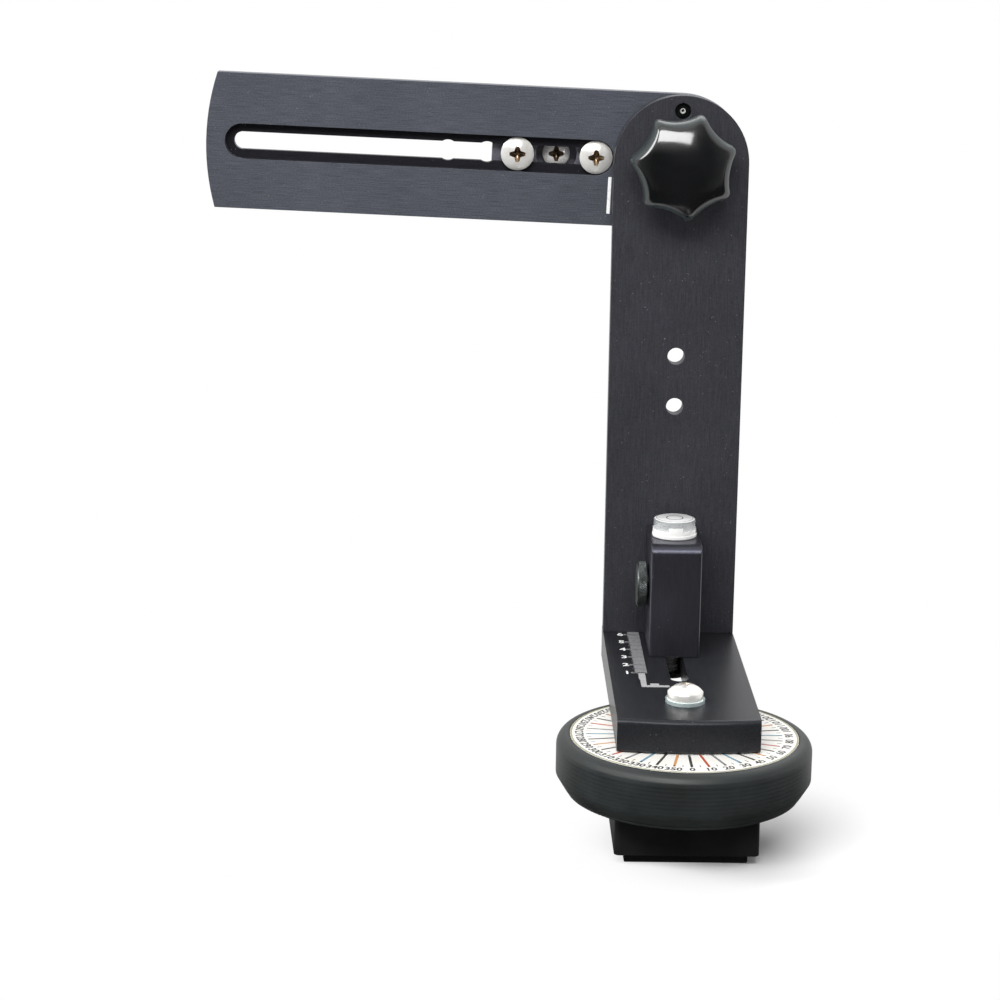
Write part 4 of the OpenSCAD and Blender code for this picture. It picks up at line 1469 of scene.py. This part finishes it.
    def add_level(self) -> None:
        """Make the clear vial with its bubble over the cup's floor, and its printed marks."""
        low, high = corners("level_vial")
        x, y, top = (low.x + high.x) / 2, (low.y + high.y) / 2, high.z
        radius = (high.x - low.x) / 2
        lens_r, bevel = radius - self.vial_gap, 0.3 * self.vial_edge
        card_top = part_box("level_cup")[0][2] + self.card_h
        depth = top - card_top
        edge = self.vial_edge
        lens = lathe([(0, 0), (lens_r, 0), (lens_r, depth - edge),
                      (lens_r - bevel, depth - bevel), (lens_r - edge, depth), (0, depth)])
        for finish in (ACRYLIC, ACRYLIC_TOP):
            lens.materials.append(material_of(finish))
        for face in lens.polygons:
            face.material_index = int(face.normal.z > 0.5)
        vial = new_piece("level_lens", placed(settle(lens), shift(x, y, card_top)), ACRYLIC,
                         Body.UPRIGHT)
        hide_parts("level_vial")
        tilts = [math.pi * k / self.bubble_steps for k in range(self.bubble_steps + 1)]
        bubble = lathe([(self.bubble_r * math.sin(tilt), -self.bubble_h * math.cos(tilt))
                        for tilt in tilts], self.bubble_sides)
        placed(settle(bubble, self.bubble_smooth),
               shift(x + self.bubble_at[0], y + self.bubble_at[1], top - self.bubble_sink))
        air = new_piece("level_bubble", bubble, BUBBLE, Body.UPRIGHT)
        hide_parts("level_fluid")
        card = lathe([(0, 0), (radius - 2 * self.vial_gap, 0),
                      (radius - 2 * self.vial_gap, self.card_t), (0, self.card_t)])
        placed(settle(card), shift(x, y, card_top - self.card_t - self.cup_gap))
        new_piece("level_card", card, LEVEL_WHITE, Body.UPRIGHT)
        ink = self.mark_t / 2
        marks = []
        for inner, width in ((self.ring_r, self.ring_w), (self.rim_r, self.rim_w)):
            ring = flat_ring(inner, inner + width, self.mark_t)
            marks.append(placed(ring, shift(x, y, top)))
        for side in (-1, 1):
            near, far = sorted((side * (self.ring_r + self.line_gap),
                                side * (self.rim_r - self.line_gap / 2)))
            marks.append(box_mesh((x + near, y - self.line_w, top - ink),
                                  (x + far, y + self.line_w, top + ink)))
        new_piece("level_marks", joined(marks, "level_marks"), INK_BLACK, Body.UPRIGHT)


@dataclass
class Thumbscrew:
    """The knurled screw that locks the foot on the arm."""

    teeth: int = 60
    knurl_depth: float = 0.28 * MM
    bevel: float = 0.5 * MM
    head_r: float = 8.8 * MM
    head_t: float = 3.8 * MM
    shank_r: float = 2.98 * MM
    tip_r: float = 0.8 * MM
    cone: float = 2.2 * MM
    face_edge: float = 0.3 * MM
    knurl_gap: float = 0.1 * MM

    def build(self) -> None:
        """Lay a knurl round the screw's head and dress its washer."""
        dress("thumb_washer", PLUNGER_STEEL)
        low, high = corners("thumbscrew")
        y, z = (low.y + high.y) / 2, (low.z + high.z) / 2
        band = capped(grown(knurl_tree(), Teeth=self.teeth, Radius=self.head_r,
                            Length=self.head_t - 2 * self.bevel, Depth=self.knurl_depth,
                            Metal=material_of(BLACK_OXIDE)))
        placed(band, shift(z=self.head_t / 2))
        inner = self.head_r - self.knurl_depth - self.knurl_gap
        face_r = inner - self.face_edge
        disc = lathe([(0, 0), (face_r, 0), (inner, self.bevel),
                      (inner, self.head_t - self.bevel), (face_r, self.head_t),
                      (0, self.head_t)])
        length = high.x - low.x
        shank = lathe([(0, self.head_t - self.bevel), (self.shank_r, self.head_t - self.bevel),
                       (self.shank_r, length - self.cone), (self.tip_r, length), (0, length)])
        screw = joined([band, settle(disc), settle(shank)], "thumbscrew")
        placed(screw, shift(low.x, y, z), turn(90, "Y"))
        piece = new_piece("thumbscrew_knurled", screw, BLACK_OXIDE, Body.THUMBSCREW)
        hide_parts("thumbscrew")


@dataclass
class Bracket:
    """The tilting camera bracket and the bolt that it turns on."""

    pivot_z: float = 236 * MM
    line_at: float = 26.2 * MM
    line_w: float = 1.25 * MM
    line_top: float = -7.0 * MM
    line_bottom: float = -20.9 * MM
    slot_depth: float = 0.4 * MM
    slot_reach: float = 8 * MM
    slot_from: float = 20 * MM
    slot_to: float = 165 * MM
    back_share: float = 0.6
    line_t: float = 0.03 * MM
    edge: float = 0.25 * MM

    def build(self) -> None:
        """Dress the bracket and print its index line."""
        piece = edge_broken("camera_bracket", self.edge, BRACKET_BAR, Body.BRACKET)
        self.darken_slot(piece.data)
        dress("tilt_bolt", NICKEL)
        dress("tilt_spacer", NYLON)
        face_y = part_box("camera_bracket")[0][1]
        line = box_mesh((-self.line_at - self.line_w / 2, face_y - self.line_t, self.line_bottom),
                        (-self.line_at + self.line_w / 2, face_y + self.line_t, self.line_top))
        placed(line, self.tilt_frame())
        new_piece("bracket_index", line, INK_WHITE, Body.BRACKET)

    def darken_slot(self, mesh: bpy.types.Mesh) -> None:
        """Paint the faces sunk in the slot darker and even, as the shade in its groove.

        Args:
            mesh: The bracket's mesh, which gets one more material.
        """
        # The sunk faces take the darker colour: painted shade in the groove
        mesh.materials.append(material_of(SLOT_SHADE))
        back = self.tilt_frame().inverted()
        front = min(v.co.y for v in mesh.vertices)
        for face in mesh.polygons:
            middle = back @ face.center
            if (face.normal.y < self.back_share and middle.y > front + self.slot_depth
                    and abs(middle.z) < self.slot_reach
                    and -self.slot_to < middle.x < -self.slot_from):
                face.material_index = len(mesh.materials) - 1

    def tilt_frame(self) -> Matrix:
        """Give the bracket's own frame: the tilt axis, turned to its rest angle."""
        return shift(z=self.pivot_z) @ Matrix.Rotation(TILT_REST, 4, "Y")


@dataclass
class TiltKnob:
    """The star knob that locks the tilt: seven lobes, a dome and a deep soft edge."""

    lobes: int = 7
    phase: float = 19.5
    tip_r: float = 20 * MM
    waist_r: float = 16.9 * MM
    nose_r: float = 2.3 * MM
    hub_r: float = 11 * MM
    hub_h: float = 5.5 * MM
    height: float = 20.5 * MM
    dome_fall: float = 7 * MM
    edge_r: float = 3.2 * MM
    rim_rings: int = 16
    foot_r: float = 0.8 * MM
    steps_per_lobe: int = 26
    edge_steps: int = 10
    dome_steps: int = 10
    hub_edge: float = 0.4 * MM
    insert_gap: float = 0.05 * MM
    smooth_to: float = 40.0
    insert_r: float = 0.0
    insert_h: float = 0.0

    def build(self) -> None:
        """Shape the knob and dress its insert and its washer."""
        dress("knob_washer", NICKEL_WASHER)
        dress("knob_insert", ZINC)
        low, high = corners("knob_insert")
        foot_y = corners("tilt_knob")[1].y
        self.insert_r = (high.x - low.x) / 2 + self.insert_gap
        self.insert_h = foot_y - low.y + self.insert_gap
        mesh = placed(self.shape(),
                      shift((low.x + high.x) / 2, foot_y, (low.z + high.z) / 2),
                      turn(90, "X"), turn(self.phase, "Z"))
        piece = new_piece("tilt_knob_domed", settle(mesh, self.smooth_to), KNOB_PLASTIC, Body.KNOB)
        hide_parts("tilt_knob")

    def outline(self, angle: float) -> float:
        """Give the radius of the lobed outline, which is made of tangent arcs.

        Args:
            angle: Angle from the middle of a lobe.

        Returns:
            The radius there.
        """
        half = math.pi / self.lobes
        angle = abs((angle + half) % (2 * half) - half)
        nose_at = self.tip_r - self.nose_r
        hollow_r = ((self.nose_r ** 2 - nose_at ** 2 - self.waist_r ** 2
                     + 2 * nose_at * self.waist_r * math.cos(half))
                    / (2 * (self.waist_r - nose_at * math.cos(half) - self.nose_r)))
        hollow_at = self.waist_r + hollow_r
        lean = math.atan2(hollow_at * math.sin(half), hollow_at * math.cos(half) - nose_at)
        touch = math.atan2(self.nose_r * math.sin(lean), nose_at + self.nose_r * math.cos(lean))
        if angle < touch:
            return nose_at * math.cos(angle) + math.sqrt(
                self.nose_r ** 2 - (nose_at * math.sin(angle)) ** 2)
        back = half - angle
        return hollow_at * math.cos(back) - math.sqrt(
            hollow_r ** 2 - (hollow_at * math.sin(back)) ** 2)

    def dome(self, radius: float) -> float:
        """Give the height of the dome at a radius."""
        ball = (self.tip_r ** 2 + self.dome_fall ** 2) / (2 * self.dome_fall)
        return self.height - ball + math.sqrt(ball ** 2 - radius ** 2)

    def shape(self) -> bpy.types.Mesh:
        """Make the knob from rings of points, from the bore of its insert up to the dome.

        Returns:
            The closed mesh, with its foot at the origin and its dome towards +Z.
        """
        count = self.lobes * self.steps_per_lobe
        angles = [FULL_TURN * k / count for k in range(count)]
        rounds = [(self.insert_r, self.insert_h), (self.insert_r, 0.0),
                  (self.hub_r - self.hub_edge, 0.0), (self.hub_r, self.hub_edge),
                  (self.hub_r, self.hub_h)]
        rings = [[(r, h)] * count for r, h in rounds]
        sizes = [self.outline(a) for a in angles]
        for share in (0.0, 0.3, 0.7, 1.0):
            sink = self.foot_r * (1 - math.cos(share * QUARTER_TURN))
            rings.append([(r - self.foot_r + self.foot_r * math.sin(share * QUARTER_TURN),
                           self.hub_h + sink) for r in sizes])
        for step in range(self.edge_steps + 1):
            inset = self.edge_r * (1 - math.cos(step / self.edge_steps * QUARTER_TURN))
            fall = self.edge_r - math.sqrt(max(0.0, self.edge_r ** 2
                                               - (self.edge_r - inset) ** 2))
            rings.append([(r - inset, self.dome(r - inset) - fall) for r in sizes])
        for step in range(1, self.dome_steps):
            inwards = [(r - self.edge_r) * (1 - step / self.dome_steps) for r in sizes]
            rings.append([(r, self.dome(r)) for r in inwards])
        work = bmesh.new()
        verts = [[work.verts.new((r * math.cos(a), r * math.sin(a), h))
                  for (r, h), a in zip(ring, angles)] for ring in rings]
        bridge(work, verts)
        for ring, height in ((verts[0], self.insert_h), (verts[-1], self.height)):
            pole = work.verts.new((0, 0, height))
            for k in range(count):
                work.faces.new([ring[k], ring[(k + 1) % count], pole])
        bmesh.ops.recalc_face_normals(work, faces=work.faces)
        # The rings from the foot up through the soft edge take the rim's greyish painted
        # reflection
        for index, face in enumerate(work.faces):
            face.material_index = int(index < self.rim_rings * count)
        mesh = mesh_of(work, "knob")
        for finish in (KNOB_PLASTIC, KNOB_RIM_SHEEN):
            mesh.materials.append(material_of(finish))
        return mesh


@dataclass
class CameraPlate:
    """The sliding camera plate, its two screws and the camera screw."""

    screw_reach: float = 3.5 * MM
    screw_depth: float = 2.4 * MM
    edge: float = 0.3 * MM
    face_slack: float = 0.02 * MM
    head_gap: float = 4 * MM

    def build(self) -> None:
        """Dress the plate and press the crosses into its screws."""
        edge_broken("camera_plate", self.edge, PLATE_ANODISED, Body.PLATE)
        dress("plate_pad", RUBBER)
        dress("camera_clip", ZINC)
        recessed("plate_screws", NICKEL, Body.PLATE,
                 self.heads("plate_screws"), self.screw_reach, self.screw_depth, RECESS_SHADE)
        # The camera screw takes the lit copy of the nickel: painted light against the slot's shade
        recessed("camera_screw", NICKEL_LIT, Body.CAMERA_SCREW,
                 self.heads("camera_screw"), self.screw_reach, self.screw_depth, RECESS_SHADE)

    def heads(self, node: str) -> list[Matrix]:
        """Find the middle of each head's face on a node whose screws face -Y.

        Args:
            node: The CAD node.

        Returns:
            The place of each head, with +Z out of the head.
        """
        points = [v.co.copy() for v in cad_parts[node].data.vertices]
        front = min(p.y for p in points)
        tips = [p for p in points if p.y < front + self.face_slack]
        groups: list[list[Vector]] = []
        for tip in tips:
            near = next((g for g in groups if (g[0] - tip).length < self.head_gap), None)
            if near is None:
                groups.append([tip])
            else:
                near.append(tip)
        places = []
        for group in groups:
            middle = sum(group, Vector()) / len(group)
            places.append(shift(middle.x, front, middle.z) @ turn(90, "X"))
        log.info("%s: %d heads", node, len(places))
        return places


def dress(node: str, finish: Finish) -> None:
    """Give a CAD node its finish.

    Args:
        node: The CAD node.
        finish: Its finish.
    """
    coated(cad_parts[node].data, finish)
    log.info("%s: %s", node, finish.name)


# ---- Camera and studio ----


@dataclass(frozen=True)
class Lamp:
    """A soft box that faces a target."""

    name: str
    place: Point
    target: Point
    size: tuple[float, float]
    power: float


# The wide key lamp above draws the bright upper edges, the left one a narrow band down the
# knob, and the back one parts the bars from the white.
LAMPS = (
    Lamp("key", (-0.3, -0.95, 1.13), (0.0, 0.0, 0.2), (1.3, 0.42), 19.0),
    Lamp("left", (-1.15, -0.25, 0.95), (0.0, 0.05, 0.2), (0.4, 0.5), 6.0),
    Lamp("back", (0.2, 0.9, 1.1), (0.0, 0.05, 0.13), (1.0, 0.6), 6.0),
)


@dataclass
class Studio:
    """Camera, lamps and floor."""

    camera_at: Point = (-77.4 * MM, -890.8 * MM, 339.15 * MM)
    yaw: float = -0.642
    pitch: float = 13.424
    roll: float = 0.79
    focal_px: float = 2603.0
    frame_px: float = 1000.0
    sensor: float = 36.0
    floor_size: float = 6.0
    floor_front: float = -0.2
    floor_colour: str = "#f6f6f6"
    floor_middle: Point = (0.05, -0.02, 0.0)
    floor_clear: float = 0.025
    floor_white: float = 0.1
    floor_dim: float = 0.04
    floor_rough: float = 0.9
    room_from: float = 0.1
    room_to: float = -0.02
    near_clip: float = 0.05
    far_clip: float = 20.0
    world_level: float = 0.48
    glow_level: float = 1.2

    def build(self) -> None:
        """Set up the camera, the lamps, the world and the floor."""
        scene = bpy.context.scene
        scene.view_settings.view_transform = "Standard"
        self.add_camera()
        self.add_world()
        for lamp in LAMPS:
            self.add_lamp(lamp)
        self.add_floor()

    def add_camera(self) -> None:
        """Place the camera where the photograph was taken from."""
        yaw, pitch, roll = (math.radians(a) for a in (self.yaw, self.pitch, self.roll))
        spin = Matrix.Rotation(yaw, 3, "Z")
        right = spin @ Vector((1, 0, 0))
        ahead = spin @ Vector((0, math.cos(pitch), -math.sin(pitch)))
        up = spin @ Vector((0, math.sin(pitch), math.cos(pitch)))
        right_r = math.cos(roll) * right + math.sin(roll) * up
        up_r = -math.sin(roll) * right + math.cos(roll) * up
        data = bpy.data.cameras.new("camera")
        data.sensor_width = self.sensor
        data.sensor_fit = "HORIZONTAL"
        data.lens = self.focal_px / self.frame_px * self.sensor
        data.clip_start = self.near_clip
        data.clip_end = self.far_clip
        camera = bpy.data.objects.new("camera", data)
        pose = Matrix((right_r, up_r, -ahead)).transposed().to_4x4()
        pose.translation = Vector(self.camera_at)
        camera.matrix_world = pose
        bpy.context.scene.collection.objects.link(camera)
        bpy.context.scene.camera = camera

    def add_world(self) -> None:
        """Light the scene evenly and show white to the camera and through glass.

        Gloss sees a white studio with a dark room in front of the object, and a soft glow
        below the key lamp.
        """
        world = bpy.data.worlds.new("world")
        world.use_nodes = True
        tree = world.node_tree
        tree.nodes.clear()
        rays = add(tree, "ShaderNodeLightPath").outputs
        shown = add(tree, "ShaderNodeMath", {"operation": "MAXIMUM"},
                    {0: rays["Is Camera Ray"], 1: rays["Is Transmission Ray"]})
        way = add(tree, "ShaderNodeSeparateXYZ",
                  inputs={"Vector": add(tree, "ShaderNodeTexCoord").outputs["Generated"]})
        room = ramp(tree, add(tree, "ShaderNodeMapRange",
                              inputs={"Value": way.outputs["Y"], "From Min": -1.0,
                                      "From Max": 1.0}).outputs[0],
                    [(0.12, grey(0.05)), (0.28, grey(0.25)), (0.5, grey(1.0))])
        # The glow is the product of a smooth step along each axis of the way looked
        glow = self.glow_level
        for axis, low, high in (("X", 0.6, -0.4), ("Y", 0.1, -0.4), ("Z", 0.2, 0.7)):
            share = add(tree, "ShaderNodeMapRange", {"interpolation_type": "SMOOTHSTEP"},
                        {"Value": way.outputs[axis], "From Min": low, "From Max": high})
            glow = add(tree, "ShaderNodeMath", {"operation": "MULTIPLY"},
                       {0: glow, 1: share.outputs[0]}).outputs[0]
        lit = add(tree, "ShaderNodeBackground",
                  inputs={"Color": grey(1.0), "Strength": self.world_level})
        dim = add(tree, "ShaderNodeBackground", inputs={"Color": room, "Strength": 1.0})
        soft = add(tree, "ShaderNodeBackground", inputs={"Color": grey(1.0), "Strength": glow})
        gloss = add(tree, "ShaderNodeAddShader", inputs={0: dim.outputs[0], 1: soft.outputs[0]})
        white = add(tree, "ShaderNodeBackground", inputs={"Color": grey(1.0), "Strength": 1.0})
        first = add(tree, "ShaderNodeMixShader",
                    inputs={0: rays["Is Glossy Ray"], 1: lit.outputs[0], 2: gloss.outputs[0]})
        mix = add(tree, "ShaderNodeMixShader",
                  inputs={0: shown.outputs[0], 1: first.outputs[0], 2: white.outputs[0]})
        add(tree, "ShaderNodeOutputWorld", inputs={"Surface": mix.outputs[0]})
        bpy.context.scene.world = world

    def add_lamp(self, lamp: Lamp) -> None:
        """Add a lamp to the scene.

        Args:
            lamp: Its place, target, size and power.
        """
        data = bpy.data.lights.new(lamp.name, "AREA")
        data.shape = "RECTANGLE"
        data.size, data.size_y = lamp.size
        data.energy = lamp.power
        box = bpy.data.objects.new(lamp.name, data)
        box.location = lamp.place
        aim = Vector(lamp.target) - Vector(lamp.place)
        box.rotation_euler = aim.to_track_quat("-Z", "Y").to_euler()
        bpy.context.scene.collection.objects.link(box)

    def add_floor(self) -> None:
        """Lay a pale floor that shows as white except under the object.

        Gloss sees the floor in front of the object as part of the dark room.
        """
        material = bpy.data.materials.new("floor")
        material.use_nodes = True
        tree = material.node_tree
        tree.nodes.clear()
        paper = add(tree, "ShaderNodeBsdfPrincipled",
                    inputs={"Base Color": linear(self.floor_colour),
                            "Roughness": self.floor_rough})
        glow = add(tree, "ShaderNodeEmission", inputs={"Color": grey(1.0), "Strength": 1.0})
        rays = add(tree, "ShaderNodeLightPath").outputs
        seen = add(tree, "ShaderNodeMath", {"operation": "MAXIMUM"},
                   {0: rays["Is Camera Ray"], 1: add(
                       tree, "ShaderNodeMath", {"operation": "MAXIMUM"},
                       {0: rays["Is Glossy Ray"], 1: rays["Is Transmission Ray"]}).outputs[0]})
        away = add(tree, "ShaderNodeVectorMath", {"operation": "DISTANCE"},
                   {0: add(tree, "ShaderNodeTexCoord").outputs["Object"],
                    1: self.floor_middle})
        far = add(tree, "ShaderNodeMapRange", {"interpolation_type": "SMOOTHSTEP"},
                  {"Value": away.outputs["Value"], "From Min": self.floor_clear,
                   "From Max": self.floor_white})
        share = add(tree, "ShaderNodeMath", {"operation": "MULTIPLY"},
                    {0: far.outputs[0], 1: seen.outputs[0]})
        mixed = add(tree, "ShaderNodeMixShader",
                    inputs={0: share.outputs[0], 1: paper.outputs[0], 2: glow.outputs[0]})
        along = add(tree, "ShaderNodeSeparateXYZ",
                    inputs={"Vector": add(tree, "ShaderNodeTexCoord").outputs["Object"]})
        ahead = add(tree, "ShaderNodeMapRange", {"interpolation_type": "SMOOTHSTEP"},
                    {"Value": along.outputs["Y"], "From Min": self.room_from,
                     "From Max": self.room_to})
        shaded = add(tree, "ShaderNodeMath", {"operation": "MULTIPLY"},
                     {0: ahead.outputs[0], 1: rays["Is Glossy Ray"]})
        dark = add(tree, "ShaderNodeEmission",
                   inputs={"Color": grey(self.floor_dim), "Strength": 1.0})
        whole = add(tree, "ShaderNodeMixShader",
                    inputs={0: shaded.outputs[0], 1: mixed.outputs[0], 2: dark.outputs[0]})
        add(tree, "ShaderNodeOutputMaterial", inputs={"Surface": whole.outputs[0]})
        half, front = self.floor_size / 2, self.floor_front
        mesh = bpy.data.meshes.new("floor")
        mesh.from_pydata([(-half, front, 0), (half, front, 0), (half, half, 0),
                          (-half, half, 0)], [], [(0, 1, 2, 3)])
        mesh.materials.append(material)
        floor = bpy.data.objects.new("floor", mesh)
        bpy.context.scene.collection.objects.link(floor)


def main() -> None:
    """Build every sub-assembly and the studio."""
    logging.basicConfig(level=logging.INFO, format="%(name)s: %(message)s")
    for assembly in (Rotator(), LowerArm(), Upright(), Thumbscrew(), Bracket(), TiltKnob(),
                     CameraPlate()):
        assembly.build()
    Studio().build()


if __name__ == "__main__":
    main()
